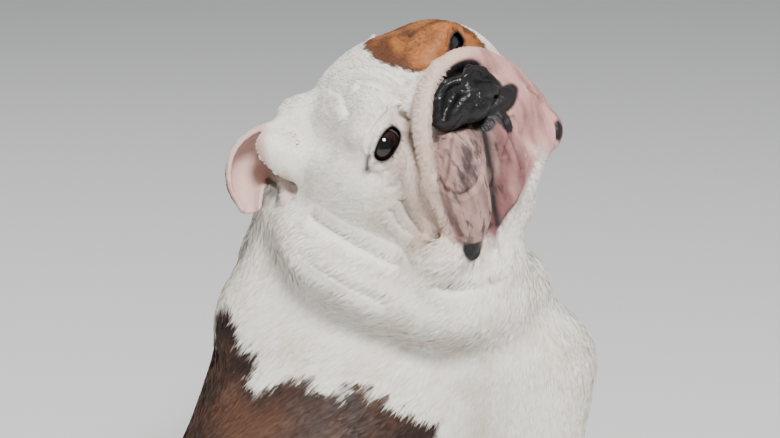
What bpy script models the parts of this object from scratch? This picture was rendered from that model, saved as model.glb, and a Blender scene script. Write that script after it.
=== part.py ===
# An English bulldog at life size. It sits, and looks back over its right shoulder.
#
# Sizes are in millimetres and become metres where a mesh is made. Places are written as
# (forward, left, up), either in the body's frame, whose origin is on the floor under the rump,
# or in the head's, whose origin is midway between the eyes. A strand is a list of rows of
# forward, left, up and radius.

import math

import bmesh
import bpy
import numpy as np
from mathutils import Matrix, Vector
from mathutils.bvhtree import BVHTree

MM = 0.001
GAP = 0.3
FAR = 60.0
SPACE = 1400.0

# The head's place over the body, and how far it is turned, lifted and rolled
HEAD_ORIGIN = (121.0, -74.0, 435.0)
HEAD_TURN = 103.5
HEAD_LIFT = 17.5
HEAD_ROLL = 38.7

# The space, the grid step and the number of triangles of each mesh of flesh
BODY_SPACE = ((-220.0, -330.0, -22.0), (220.0, 150.0, 480.0))
BODY_STEP = 4.5
BODY_TRIANGLES = 5600
HEAD_MIDDLE = (-20.0, 0.0, -40.0)
HEAD_REACH = 150.0
HEAD_STEP = 2.0
HEAD_TRIANGLES = 6800
NOSE_REACH = 45.0
NOSE_STEP = 1.5
NOSE_TRIANGLES = 640

# Eyes, and the opening of the lids
EYE_RADIUS = 13.0
EYE_LEFT = (-6.0, 43.0, 0.0)
EYE_RIGHT = (-4.0, -44.0, -5.0)
LID_WIDTH = 18.0
LID_HEIGHT = 11.8
LID_RADIUS = 2.2
EYE_SIDES = 14

# Nose, tilted back and rolled less than the skull, and the roll of skin over it and beside it
NOSE_PLACE = (40.0, 1.0, -12.0)
NOSE_TURN = (0.0, 18.0, -18.0)
ROLL_RIGHT = [(29, 8, 7, 6.5), (32, -12, 8, 6.6), (32, -30, -2, 6.4), (28, -44, -20, 6), (22, -55, -44, 5),
              (17, -62, -68, 4.6), (15, -64, -83, 3.5)]
ROLL_LEFT = [(29, 8, 7, 6.5), (31, 22, 2, 7.5), (29, 36, -13, 9), (23, 47, -38, 9.5), (14, 56, -66, 9),
             (6, 61, -90, 7)]

# The hanging lips, and the grooves beside, between and under them
RIGHT_LIP = [(31, -26, -36, 17), (28, -39, -53, 18), (24, -48, -71, 15.5), (20, -57, -83, 9), (19, -60, -88, 6.5)]
MIDDLE_LIP = [(29, 1, -47, 18), (25, -2, -68, 18), (20, -16, -86, 13), (19, -30, -94, 8)]
LEFT_LIP = [(22, 30, -50, 21), (18, 36, -72, 16), (13, 46, -92, 12)]
LIP_EDGE = [(12, 50, -88, 13), (16, 32, -84, 17), (16, 12, -84, 18)]
LIP_KNOT = [(40, 9, -33, 5.5), (40, 20, -37, 6.5), (37, 31, -40, 5)]
LIP_KNOT_LOW = [(41, 9, -40, 5.5), (43, 8, -47, 5)]
MOUTH_LINE = [(46, -7, -33, 1.2), (44, -12, -42, 1.5), (41, -21, -56, 1.8), (36, -28, -70, 2), (30, -36, -84, 2),
              (25, -44, -93, 1.5)]
CHIN_GROOVE = [(37, 16, -82, 1), (35, -4, -89, 1.6), (29, -22, -94, 2), (25, -38, -98, 2), (22, -54, -99, 1.5)]
ROLL_GROOVE = [(38, -30, -8, 1.5), (35, -44, -26, 2), (30, -57, -49, 2), (24, -64, -74, 2)]
CHEEK_GROOVE = [(18, -22, 6, 1.5), (24, -46, -14, 1.5), (15, -62, -38, 2), (11, -68, -62, 2.2), (10, -70, -78, 1.2)]
EAR_RIDGE = [(-94, -56, 3, 4), (-88, -70, 4, 4.5), (-87, -84, -3, 3.5)]
BROW = [(-18, -17, 23, 9), (-4, -29, 17, 10.5), (-3, -46, 11, 8)]
EYE_HOLLOW = [(10, -24, 4, 2), (12, -20, -8, 2.5)]

# Ears: rows down the middle of the cup, the way it opens, and how far its wall reaches round
# to its lower and its upper edge, in degrees
RIGHT_EAR = [(-66, -42, 2, 22), (-80, -60, 16, 24), (-93, -74, 26, 19), (-96, -90, 22, 13),
             (-91, -104, 10, 6)]
RIGHT_OPENING = (0.90, -0.38, 0.18)
LEFT_EAR = [(-66, 42, -2, 20), (-82, 54, -4, 20), (-98, 66, -12, 17), (-106, 76, -28, 12),
            (-102, 84, -44, 6)]
LEFT_OPENING = (0.55, 0.80, 0.20)
EAR_REACH = (-80.0, 105.0)
EAR_THICKNESS = 3.4
EAR_HOLE = [(-78, 78, 2, 6), (-62, 56, -10, 4)]

# The roll of skin round the neck
NECK_ROLL = [(90, 14, 344, 13), (70, -18, 332, 18), (76, -44, 316, 23), (92, -72, 302, 26), (116, -100, 292, 27),
             (150, -118, 290, 26), (184, -118, 296, 20)]

# Paws: place on the floor, turn outward, and size against a forepaw
FOREPAW = (220.0, 124.0, 0.0)
FOREPAW_TURN = 10.0
HINDPAW = (124.0, 152.0, 0.0)
HINDPAW_TURN = 18.0
HINDPAW_SIZE = 0.94
TOES = [(12.0, -21.0), (21.0, -7.5), (21.0, 7.5), (12.0, 21.0)]

# The plane between head and neck, as a place on it and a way towards the neck
HEAD_CUT_POINT = (112.0, -72.0, 346.0)
HEAD_CUT_WAY = (-0.15, 0.16, -0.97)

# Claws
CLAW_LENGTH = 13.0
CLAW_RADIUS = 3.4
CLAW_TIP = 0.9
CLAW_SIDES = 6


def frame_axes(turn, lift, roll):
    """Forward, left and up of a frame turned to the right, lifted, then rolled left side up."""
    turned = Matrix.Rotation(math.radians(-turn), 3, "Z")
    forward = turned @ Vector((0.0, -1.0, 0.0))
    left = turned @ Vector((1.0, 0.0, 0.0))
    forward = Matrix.Rotation(math.radians(-lift), 3, left) @ forward
    left = Matrix.Rotation(math.radians(roll), 3, forward) @ left
    return np.array([forward, left, forward.cross(left)])


class Place:
    """A frame of forward, left and up axes at an origin, in world millimetres."""

    def __init__(self, origin, axes):
        self.origin = np.array(origin, float)
        self.axes = axes

    def point(self, at):
        return self.origin + np.array(at, float) @ self.axes

    def direction(self, way):
        return np.array(way, float) @ self.axes

    def turned(self, turn):
        """The frame's axes after a yaw to the left, a pitch up and a roll, in degrees."""
        yaw, pitch, roll = (math.radians(angle) for angle in turn)
        local = (Matrix.Rotation(yaw, 3, "Z") @ Matrix.Rotation(-pitch, 3, "Y")
                 @ Matrix.Rotation(roll, 3, "X"))
        return np.array(local).T @ self.axes


BODY = Place((0.0, 0.0, 0.0), frame_axes(0.0, 0.0, 0.0))
HEAD = Place(BODY.point(HEAD_ORIGIN), frame_axes(HEAD_TURN, HEAD_LIFT, HEAD_ROLL))


def paw_place(spot, turn, side):
    """The frame of one paw, on the floor under its middle, turned outward."""
    f, l, u = spot
    return Place(BODY.point((f, side * l, u)), frame_axes(-side * turn, 0.0, 0.0))


def smooth_line(rows, spacing):
    """Points about a spacing apart on a smooth curve through the rows, radius included."""
    rows = np.array(rows, float)
    ends = np.vstack([2 * rows[0] - rows[1], rows, 2 * rows[-1] - rows[-2]])
    line = [rows[0]]
    for start in range(len(rows) - 1):
        a, b, c, d = ends[start:start + 4]
        count = max(2, math.ceil(np.linalg.norm((c - b)[:3]) / spacing))
        for step in range(1, count + 1):
            t = step / count
            line.append(0.5 * (2 * b + (c - a) * t + (2 * a - 5 * b + 4 * c - d) * t * t
                               + (3 * b - 3 * c + d - a) * t ** 3))
    return np.array(line)


class Flesh:
    """A block of space that holds the distance to the surface at each point of a grid."""

    def __init__(self, low, high, step):
        self.low = np.array(low, float)
        self.step = step
        self.counts = np.ceil((np.array(high, float) - self.low) / step).astype(int) + 1
        self.depth = np.full(self.counts, FAR)

    def window(self, low, high):
        """The part of the grid between two corners, and its coordinates."""
        first = np.clip(np.floor((low - self.low) / self.step).astype(int), 0, self.counts)
        last = np.clip(np.ceil((high - self.low) / self.step).astype(int) + 1, 0, self.counts)
        part = tuple(slice(a, b) for a, b in zip(first, last))
        lines = [self.low[i] + self.step * np.arange(first[i], last[i]) for i in range(3)]
        return part, np.meshgrid(*lines, indexing="ij", sparse=True)

    def join(self, part, distance, blend, cut):
        """Adds a mass to the flesh, or cuts it out, with a soft seam as wide as the blend."""
        old = self.depth[part]
        if cut:
            distance = -distance
            soft = np.maximum(blend - np.abs(old - distance), 0.0)
            self.depth[part] = np.maximum(old, distance) + soft * soft / (4 * blend)
        else:
            soft = np.maximum(blend - np.abs(old - distance), 0.0)
            self.depth[part] = np.minimum(old, distance) - soft * soft / (4 * blend)

    def ball(self, place, centre, radii, blend, turn=(0.0, 0.0, 0.0), cut=False):
        """A rounded mass with a radius along each axis of its frame."""
        middle = place.point(centre)
        axes = place.turned(turn)
        reach = np.sqrt(((axes * np.array(radii)[:, None]) ** 2).sum(axis=0))
        reach = reach + blend + 2 * self.step
        part, grid = self.window(middle - reach, middle + reach)
        x, y, z = (line - value for line, value in zip(grid, middle))
        near = 0.0
        slope = 0.0
        for axis, radius in zip(axes, radii):
            along = (x * axis[0] + y * axis[1] + z * axis[2]) / radius
            near = near + along ** 2
            slope = slope + (along / radius) ** 2
        near = np.sqrt(near)
        distance = near * (near - 1.0) / np.sqrt(np.maximum(slope, 1e-9))
        distance = np.where(near < 0.2, -0.8 * min(radii), distance)
        self.join(part, distance, blend, cut)

    def strand(self, place, rows, margin, window=None):
        """The distance to a round strand through its rows, in a window round it."""
        rows = np.array([[*place.point(row[:3]), row[3]] for row in rows])
        line = smooth_line(rows, 0.4 * rows[:, 3].min() + 0.5 * self.step)
        if window is None:
            reach = line[:, 3:].max() + margin + 2 * self.step
            window = self.window(line[:, :3].min(axis=0) - reach, line[:, :3].max(axis=0) + reach)
        x, y, z = window[1]
        distance = np.full([x.size, y.size, z.size], FAR)
        for start, end in zip(line, line[1:]):
            run = end[:3] - start[:3]
            dx, dy, dz = x - start[0], y - start[1], z - start[2]
            share = np.clip((dx * run[0] + dy * run[1] + dz * run[2]) / max(run @ run, 1e-9), 0, 1)
            away = np.sqrt((dx - share * run[0]) ** 2 + (dy - share * run[1]) ** 2
                           + (dz - share * run[2]) ** 2)
            distance = np.minimum(distance, away - start[3] - share * (end[3] - start[3]))
        return window, distance

    def rope(self, place, rows, blend, cut=False):
        """A round strand through its rows, or the furrow that it leaves."""
        window, distance = self.strand(place, rows, blend)
        self.join(window[0], distance, blend, cut)

    def sheet(self, rows, thickness, blend):
        """A bent sheet through rows of points, with rounded edges."""
        count, across = rows.shape[:2]
        corners = rows.reshape(-1, 3)
        faces = [(i * across + j, i * across + j + 1, (i + 1) * across + j + 1, (i + 1) * across + j)
                 for i in range(count - 1) for j in range(across - 1)]
        tree = BVHTree.FromPolygons(corners.tolist(), faces)
        reach = thickness + blend + 2 * self.step
        part, grid = self.window(corners.min(axis=0) - reach, corners.max(axis=0) + reach)
        spots = np.stack(np.broadcast_arrays(*grid), axis=-1)
        found = [tree.find_nearest(spot, reach)[3] for spot in spots.reshape(-1, 3).tolist()]
        distance = np.array([reach if near is None else near for near in found])
        self.join(part, distance.reshape(spots.shape[:3]) - thickness / 2, blend, False)

    def balls(self, place, centre, radii, blend, turn=(0.0, 0.0, 0.0), cut=False):
        """The same rounded mass on the left and on the right."""
        f, l, u = centre
        yaw, pitch, roll = turn
        for side in (1, -1):
            self.ball(place, (f, side * l, u), radii, blend, (side * yaw, pitch, side * roll), cut)

    def ropes(self, place, rows, blend, cut=False):
        """The same strand on the left and on the right."""
        for side in (1, -1):
            self.rope(place, [(f, side * l, u, r) for f, l, u, r in rows], blend, cut)

    def fill_doubtful(self):
        """Fills grid squares and cubes in which the flesh meets only at opposite corners."""
        for _ in range(20):
            inside = np.pad(self.depth < 0.0, ((0, 1), (0, 1), (0, 1)), mode="edge")
            n = self.depth.shape
            corner = {at: inside[at[0]:at[0] + n[0], at[1]:at[1] + n[1], at[2]:at[2] + n[2]]
                      for at in np.ndindex(2, 2, 2)}
            doubtful = []
            for a, b in ((0, 1), (0, 2), (1, 2)):
                step_a, step_b = (tuple(int(i == axis) for i in range(3)) for axis in (a, b))
                both = tuple(np.add(step_a, step_b))
                square = [corner[at] for at in ((0, 0, 0), both, step_a, step_b)]
                crossed = (square[0] == square[1]) & (square[2] == square[3]) & (square[0] != square[2])
                doubtful.append((crossed, [(0, 0, 0), both, step_a, step_b]))
            total = sum(corner[at].astype(int) for at in corner)
            for first in ((0, 0, 0), (0, 0, 1), (0, 1, 0), (1, 0, 0)):
                last = tuple(1 - i for i in first)
                same = corner[first] == corner[last]
                lonely = same & (total == np.where(corner[first], 2, 6))
                doubtful.append((lonely, list(corner)))
            if not any(crossed.any() for crossed, _ in doubtful):
                return
            for crossed, corners in doubtful:
                at = np.argwhere(crossed)
                for move in corners:
                    spot = tuple(np.minimum(at + move, np.array(n) - 1).T)
                    self.depth[spot] = np.minimum(self.depth[spot], -0.2 * self.step)

    def surface(self):
        """Corners and four-sided faces of the surface, one corner in each cell it crosses."""
        self.fill_doubtful()
        inside = self.depth < 0.0
        cells = tuple(count - 1 for count in self.depth.shape)
        total = np.zeros(cells + (3,))
        number = np.zeros(cells)
        crossings = []
        for axis in range(3):
            ahead = tuple(slice(1, None) if i == axis else slice(None) for i in range(3))
            behind = tuple(slice(None, -1) if i == axis else slice(None) for i in range(3))
            crossed = inside[behind] != inside[ahead]
            rise = np.where(crossed, self.depth[ahead] - self.depth[behind], 1.0)
            share = np.where(crossed, -self.depth[behind] / rise, 0.0)
            crossings.append((crossed, inside[behind]))
            b, c = (axis + 1) % 3, (axis + 2) % 3
            for first, second in ((0, 0), (0, 1), (1, 0), (1, 1)):
                pick = [slice(None)] * 3
                pick[b] = slice(first, cells[b] + first)
                pick[c] = slice(second, cells[c] + second)
                here = crossed[tuple(pick)]
                number += here
                total[..., axis] += share[tuple(pick)]
                total[..., b] += here * first
                total[..., c] += here * second
        active = number > 0
        index = np.full(cells, -1)
        index[active] = np.arange(active.sum())
        points = np.argwhere(active) + total[active] / number[active][:, None]
        faces = [self.crossing_faces(axis, *crossings[axis], index) for axis in range(3)]
        return self.low + points * self.step, np.vstack(faces)

    def crossing_faces(self, axis, crossed, outward, index):
        """The faces round the grid lines of one axis that cross the surface."""
        b, c = (axis + 1) % 3, (axis + 2) % 3
        at = np.argwhere(crossed)
        limit = np.array(index.shape)
        whole = (at[:, b] > 0) & (at[:, b] < limit[b]) & (at[:, c] > 0) & (at[:, c] < limit[c])
        at = at[whole]
        ring = []
        for step_b, step_c in ((-1, -1), (0, -1), (0, 0), (-1, 0)):
            cell = at.copy()
            cell[:, b] += step_b
            cell[:, c] += step_c
            ring.append(index[tuple(cell.T)])
        ring = np.array(ring).T
        turned_in = ~outward[tuple(at.T)]
        ring[turned_in] = ring[turned_in][:, ::-1]
        return ring


def skull_and_jaw(flesh):
    """The head's large masses, the brows and the furrow of the forehead."""
    flesh.ball(HEAD, (-54, 0, -20), (60, 70, 55), 20)
    flesh.ball(HEAD, (-30, 25, -6), (34, 32, 25), 14)
    flesh.ball(HEAD, (-30, -26, 6), (32, 30, 26), 12)
    flesh.balls(HEAD, (-42, 58, -32), (46, 29, 44), 18)
    flesh.ball(HEAD, (-35, -4, -74), (62, 64, 40), 20)
    flesh.ball(HEAD, (6, 0, -42), (32, 48, 36), 14)
    flesh.ball(HEAD, (-74, -54, 0), (20, 17, 26), 12)
    flesh.ball(HEAD, (-78, -36, 24), (17, 18, 18), 12)
    flesh.ball(HEAD, (-4, 38, 7), (13, 20, 8), 10)
    flesh.ball(HEAD, (-6, -38, 12), (13, 20, 8), 8)
    flesh.rope(HEAD, [(14, 2, 16, 3), (-6, 4, 27, 5), (-30, 4, 34, 5), (-60, 0, 41, 4)], 10, cut=True)
    flesh.rope(HEAD, [(-42, -9, 30, 6), (-22, -8, 25, 6), (0, -13, 10, 5), (12, -20, 3, 4)], 8)
    flesh.rope(HEAD, BROW, 7)
    flesh.ball(HEAD, (-75, -66, 21), (16, 15, 21), 8)
    flesh.ball(HEAD, (-34, -60, 29), (14, 8, 16), 16, cut=True)


def muzzle(flesh):
    """The chin, the pads under the eyes, the hanging lips and the roll over the nose."""
    flesh.ball(HEAD, (12, -8, -88), (24, 28, 18), 10)
    flesh.ball(HEAD, (-8, -50, -88), (18, 26, 23), 20)
    flesh.ball(HEAD, (-4, -16, -104), (28, 34, 20), 14)
    flesh.ball(HEAD, (12, 0, -10), (24, 26, 18), 10)
    flesh.balls(HEAD, (7, 42, -32), (19, 19, 24), 12)
    flesh.ropes(HEAD, [(13, 42, -38, 16), (5, 50, -64, 14)], 12)
    flesh.balls(HEAD, (24, 26, -46), (19, 26, 24), 8)
    flesh.rope(HEAD, LIP_EDGE, 10)
    flesh.rope(HEAD, RIGHT_LIP, 3)
    flesh.rope(HEAD, MIDDLE_LIP, 3)
    flesh.rope(HEAD, LEFT_LIP, 6)
    flesh.rope(HEAD, LIP_KNOT, 2)
    flesh.rope(HEAD, LIP_KNOT_LOW, 2)
    flesh.rope(HEAD, ROLL_RIGHT, 3)
    flesh.rope(HEAD, ROLL_LEFT, 5)
    flesh.rope(HEAD, EYE_HOLLOW, 5, cut=True)
    flesh.rope(HEAD, MOUTH_LINE, 3, cut=True)
    flesh.rope(HEAD, ROLL_GROOVE, 3, cut=True)
    flesh.rope(HEAD, CHEEK_GROOVE, 5, cut=True)
    flesh.rope(HEAD, CHIN_GROOVE, 3, cut=True)


def nose_leather(flesh):
    """The broad nose, with a wing and a rim round each nostril and a furrow down its middle."""
    place = Place(HEAD.point(NOSE_PLACE), HEAD.turned(NOSE_TURN))
    flesh.ball(place, (0, 0, 0), (14, 20, 14), 3)
    flesh.ball(place, (1, 0, -12), (12, 12, 10), 4)
    for side in (1, -1):
        flesh.ball(place, (-4, side * 15, -3), (13, 13, 13), 5)
        flesh.rope(place, [(12, side * 3, 8, 3), (9, side * 11, 11, 3.5), (3, side * 20, 6, 4)], 3)
    for side in (1, -1):
        nostril = [(15, side * 5, 1, 3), (13, side * 10, 4, 4.6), (9, side * 16, 1, 4.2), (4, side * 23, -6, 2.6)]
        flesh.rope(place, nostril, 2.5, cut=True)
        flesh.rope(place, [(8, side * 9, -7, 3), (4, side * 17, -10, 3.5), (-3, side * 24, -9, 3.5)], 4)
    flesh.rope(place, [(16, 0, 6, 1.2), (15, 0, -8, 1.5), (12, 0, -22, 2)], 3, cut=True)


def lids(flesh):
    """The socket of each eye, and a lid along each side of its almond opening."""
    for side in (1, -1):
        middle = np.array(EYE_LEFT if side > 0 else EYE_RIGHT)
        flesh.ball(HEAD, middle - (5, 0, 0), [EYE_RADIUS + 5.5] * 3, 8)
        flesh.ball(HEAD, middle, [EYE_RADIUS + 1.5] * 3, 3, cut=True)
        for lid in (1, -1):
            rows = []
            for angle in range(0, 181, 30):
                across = LID_WIDTH * math.cos(math.radians(angle))
                rise = LID_HEIGHT * math.sin(math.radians(angle))
                reach = EYE_RADIUS * math.sqrt(max(1 - (across ** 2 + rise ** 2) / 340, 0.1))
                rows.append((*(middle + (reach, side * across, lid * rise)), LID_RADIUS))
            flesh.rope(HEAD, rows, 3)


def ear(flesh, rows, opening, side):
    """A rose ear, folded back, as a bent sheet whose cup opens to one side, over its hole."""
    line = smooth_line(rows, 4.0)
    along = np.gradient(line[:, :3], axis=0)
    along /= np.linalg.norm(along, axis=1)[:, None]
    out = opening - (along @ opening)[:, None] * along
    out /= np.linalg.norm(out, axis=1)[:, None]
    beside = -side * np.cross(along, out)
    points = []
    for angle in np.radians(np.linspace(*EAR_REACH, 15)):
        way = math.sin(angle) * beside - math.cos(angle) * out
        points.append(HEAD.point(line[:, :3] + line[:, 3:] * way))
    flesh.sheet(np.array(points), EAR_THICKNESS, 4)
    flesh.rope(HEAD, [(*row[:3], row[3] - EAR_THICKNESS) for row in rows[1:3]], 1, cut=True)
    flesh.rope(HEAD, [(f, side * l, u, r) for f, l, u, r in EAR_HOLE], 3, cut=True)


def ears(flesh):
    ear(flesh, RIGHT_EAR, np.array(RIGHT_OPENING), -1)
    ear(flesh, LEFT_EAR, np.array(LEFT_OPENING), 1)
    flesh.rope(HEAD, EAR_RIDGE, 4)


def neck(flesh):
    """The neck, with the roll of loose skin that lies round it under the jaw."""
    skull = (HEAD.point((-52, 0, -36)) - BODY.origin) @ BODY.axes.T
    flesh.rope(BODY, [(160, 0, 276, 94), (150, -10, 335, 76), (*skull, 60)], 24)
    flesh.rope(BODY, NECK_ROLL, 18)


def trunk(flesh):
    flesh.ball(BODY, (18, 0, 84), (86, 98, 90), 20)
    flesh.ball(BODY, (80, 0, 132), (92, 90, 96), 36)
    flesh.ball(BODY, (140, 0, 212), (134, 106, 100), 36, turn=(0, 58, 0))
    flesh.ball(BODY, (182, 0, 200), (88, 112, 95), 24)
    flesh.ball(BODY, (180, 86, 250), (54, 50, 74), 22, turn=(0, 14, 0))
    flesh.ball(BODY, (180, -94, 252), (54, 50, 76), 22, turn=(0, 14, 0))
    flesh.ball(BODY, (140, -8, 314), (66, 76, 54), 24)
    flesh.ball(BODY, (150, -108, 318), (34, 34, 30), 14)
    flesh.ball(BODY, (92, 30, 262), (46, 43, 44), 20)
    flesh.ball(BODY, (112, -104, 330), (26, 24, 20), 10)


def forelegs(flesh):
    flesh.rope(BODY, [(188, 102, 226, 46), (184, 114, 168, 41), (200, 130, 112, 35),
                      (211, 126, 62, 29), (216, 124, 34, 27)], 14)
    flesh.rope(BODY, [(196, -118, 230, 51), (188, -122, 168, 44), (200, -134, 112, 36),
                      (211, -128, 62, 29), (216, -124, 34, 27)], 14)


def hindlegs(flesh):
    flesh.balls(BODY, (60, 100, 76), (82, 54, 71), 20, turn=(16, 0, 0))
    flesh.ropes(BODY, [(108, 132, 84, 38), (80, 140, 56, 32), (40, 140, 34, 24)], 12)
    flesh.ropes(BODY, [(34, 140, 24, 24), (84, 148, 20, 22), (116, 151, 20, 22)], 8)


def paw(flesh, place, size):
    """The pad of one paw and its four toes."""
    flesh.ball(place, (4 * size, 0, 14 * size), np.array((26, 27, 22)) * size, 10)
    for forward, across in TOES:
        knuckle = (forward * size, across * size, 19 * size)
        tip = ((forward + 11) * size, across * 1.1 * size, 9 * size)
        flesh.rope(place, [(*knuckle, 10 * size), (*tip, 9.5 * size)], 3)


def tail(flesh):
    flesh.rope(BODY, [(-52, 0, 88, 24), (-78, 0, 62, 17), (-88, 0, 38, 11), (-82, 0, 17, 7)], 12)


def flesh_between(low, high, step):
    """All the flesh between two corners of space."""
    flesh = Flesh(low, high, step)
    for sub_part in (trunk, neck, forelegs, hindlegs, tail):
        sub_part(flesh)
    for side in (1, -1):
        paw(flesh, paw_place(FOREPAW, FOREPAW_TURN, side), 1.0)
        paw(flesh, paw_place(HINDPAW, HINDPAW_TURN, side), HINDPAW_SIZE)
    for sub_part in (skull_and_jaw, muzzle, lids, ears):
        sub_part(flesh)
    return flesh


def make_object(name, points, faces):
    """An object of a closed mesh, in metres."""
    mesh = bpy.data.meshes.new(name)
    mesh.from_pydata((np.asarray(points) * MM).tolist(), [], np.asarray(faces).tolist())
    mesh.update()
    made = bpy.data.objects.new(name, mesh)
    bpy.context.scene.collection.objects.link(made)
    return made


def bmesh_object(name, shape):
    """An object of a shape that is in metres already."""
    mesh = bpy.data.meshes.new(name)
    shape.to_mesh(mesh)
    shape.free()
    made = bpy.data.objects.new(name, mesh)
    bpy.context.scene.collection.objects.link(made)
    return made


def evaluated(made):
    """Applies an object's modifiers."""
    shown = made.evaluated_get(bpy.context.evaluated_depsgraph_get())
    mesh = bpy.data.meshes.new_from_object(shown)
    made.modifiers.clear()
    made.data = mesh


def fewer_triangles(made, triangles):
    made.data.calc_loop_triangles()
    decimate = made.modifiers.new("coarser", "DECIMATE")
    decimate.ratio = min(triangles / len(made.data.loop_triangles), 1.0)
    evaluated(made)


def combine(made, other, operation):
    """Cuts an object by another, or keeps what both share, and removes the other."""
    boolean = made.modifiers.new("cut", "BOOLEAN")
    boolean.operation = operation
    boolean.solver = "EXACT"
    boolean.object = other
    evaluated(made)
    bpy.data.objects.remove(other, do_unlink=True)
    keep_largest(made)


def keep_largest(made):
    """Keeps only the largest closed surface of an object, and closes the fine slits in it."""
    shape = bmesh.new()
    shape.from_mesh(made.data)
    left_over = set(shape.verts)
    pieces = []
    while left_over:
        piece = set()
        edge_of = [left_over.pop()]
        while edge_of:
            corner = edge_of.pop()
            piece.add(corner)
            for edge in corner.link_edges:
                other = edge.other_vert(corner)
                if other in left_over:
                    left_over.remove(other)
                    edge_of.append(other)
        pieces.append(piece)
    largest = max(pieces, key=len)
    loose = [corner for piece in pieces if piece is not largest for corner in piece]
    bmesh.ops.delete(shape, geom=loose, context="VERTS")
    slits = [edge for edge in shape.edges if len(edge.link_faces) == 1]
    bmesh.ops.holes_fill(shape, edges=slits, sides=4)
    shape.to_mesh(made.data)
    shape.free()


def block(planes, grown=0.0):
    """A convex block behind planes, each a world point and a normal that points out of it."""
    shape = bmesh.new()
    bmesh.ops.create_cube(shape, size=SPACE * MM)
    for point, normal in planes:
        out = Vector(normal).normalized()
        at = Vector(point) * MM + out * grown * MM
        everything = shape.verts[:] + shape.edges[:] + shape.faces[:]
        cut = bmesh.ops.bisect_plane(shape, geom=everything, plane_co=at, plane_no=out,
                                     clear_outer=True)
        rim = [item for item in cut["geom_cut"] if isinstance(item, bmesh.types.BMEdge)]
        bmesh.ops.edgeloop_fill(shape, edges=rim)
    bmesh.ops.recalc_face_normals(shape, faces=shape.faces[:])
    return bmesh_object("block", shape)


def part_off(rest, name, planes):
    """Takes the piece behind the planes off the rest, with the gap between them."""
    piece = bpy.data.objects.new(name, rest.data.copy())
    bpy.context.scene.collection.objects.link(piece)
    combine(piece, block(planes), "INTERSECT")
    combine(rest, block(planes, GAP), "DIFFERENCE")
    return piece


def body_plane(point, normal):
    return BODY.point(point), BODY.direction(normal)


def head_plane(point, normal):
    return HEAD.point(point), HEAD.direction(normal)


def part_head(head):
    """The ears and the head, above the neck."""
    combine(head, block([body_plane(HEAD_CUT_POINT, HEAD_CUT_WAY)]), "INTERSECT")
    right = [((-84, -66, 20), (0.62, 0.72, -0.10)), ((0, -40, 0), (0, 1, 0)), ((0, 0, -16), (0, 0, -1))]
    left = [((-88, 56, -10), (0.85, -0.50, 0.10)), ((0, 40, 0), (0, -1, 0)), ((0, 0, -72), (0, 0, -1))]
    return {
        "ear_r": part_off(head, "ear_r", [head_plane(*plane) for plane in right]),
        "ear_l": part_off(head, "ear_l", [head_plane(*plane) for plane in left]),
        "head": head,
    }


def part_body(body):
    """The body's nodes, parted by planes from the extremities inwards."""
    combine(body, block([body_plane((0, 0, 0), (0, 0, -1))]), "INTERSECT")
    point, away = body_plane(HEAD_CUT_POINT, HEAD_CUT_WAY)
    combine(body, block([(point + GAP * away, -away)]), "INTERSECT")
    nodes = {"tail": part_off(body, "tail", [body_plane((-71, 0, 0), (1, 0, 0))])}
    for side, letter in ((1, "l"), (-1, "r")):
        cells = {
            "hindpaw": [((93, 0, 0), (-1, 0, 0)), ((180, 0, 0), (1, 0, 0)), ((0, 0, 44), (0, 0, 1)),
                        ((0, side * 66, 0), (0, -side, 0))],
            "thigh": [((0, side * 66, 0), (0, -side, 0)), ((141, 0, 100), (0.92, 0, 0.40)),
                      ((0, side * 100, 150), (0, -side * 0.55, 0.83))],
            "forepaw": [((186, 0, 0), (-1, 0, 0)), ((0, 0, 46), (0, 0, 1)), ((0, side * 66, 0), (0, -side, 0))],
            "foreleg": [((0, side * 66, 0), (0, -side, 0)), ((139, 0, 100), (-0.92, 0, -0.40)),
                        ((0, side * 78, 112), (0, -side * 0.77, 0.64))],
        }
        for sub_part, planes in cells.items():
            name = f"{sub_part}_{letter}"
            nodes[name] = part_off(body, name, [body_plane(*plane) for plane in planes])
    collar = [((138, 0, 314), (-0.445, 0, -0.895)), ((0, 86, 0), (0, 1, 0)), ((0, -96, 0), (0, -1, 0))]
    nodes["neck"] = part_off(body, "neck", [body_plane(*plane) for plane in collar])
    nodes["rump"] = part_off(body, "rump", [body_plane((78, 0, 160), (0.5, 0, 0.87))])
    body.name = "chest"
    nodes["chest"] = body
    return nodes


def set_in(owner, piece):
    """Cuts a hollow for a piece, a gap wider than the piece, into what holds it."""
    socket = bpy.data.objects.new("socket", piece.data.copy())
    bpy.context.scene.collection.objects.link(socket)
    shape = bmesh.new()
    shape.from_mesh(socket.data)
    shape.normal_update()
    moves = [corner.normal * corner.calc_shell_factor() * GAP * MM for corner in shape.verts]
    for corner, move in zip(shape.verts, moves):
        corner.co += move
    shape.to_mesh(socket.data)
    shape.free()
    combine(owner, socket, "DIFFERENCE")


def make_claw(name, place, size, toe):
    """A claw as a short cone that grows forward and down out of its toe."""
    forward, across = toe
    root = place.point(((forward + 11) * size, across * 1.1 * size, 10.5 * size))
    way = Vector(place.direction((0.88, 0.0, -0.42)))
    length = CLAW_LENGTH * size
    shape = bmesh.new()
    bmesh.ops.create_cone(shape, cap_ends=True, segments=CLAW_SIDES, depth=length * MM,
                          radius1=CLAW_RADIUS * size * MM, radius2=CLAW_TIP * size * MM)
    middle = Vector(root) + way * length / 2
    turn = way.to_track_quat("Z", "Y").to_matrix().to_4x4()
    shape.transform(Matrix.Translation(middle * MM) @ turn)
    return bmesh_object(name, shape)


def make_eye(name, side):
    middle = EYE_LEFT if side > 0 else EYE_RIGHT
    shape = bmesh.new()
    bmesh.ops.create_uvsphere(shape, u_segments=EYE_SIDES, v_segments=EYE_SIDES // 2 + 2,
                              radius=EYE_RADIUS * MM)
    shape.transform(Matrix.Translation(HEAD.point(middle) * MM))
    return bmesh_object(name, shape)


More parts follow.
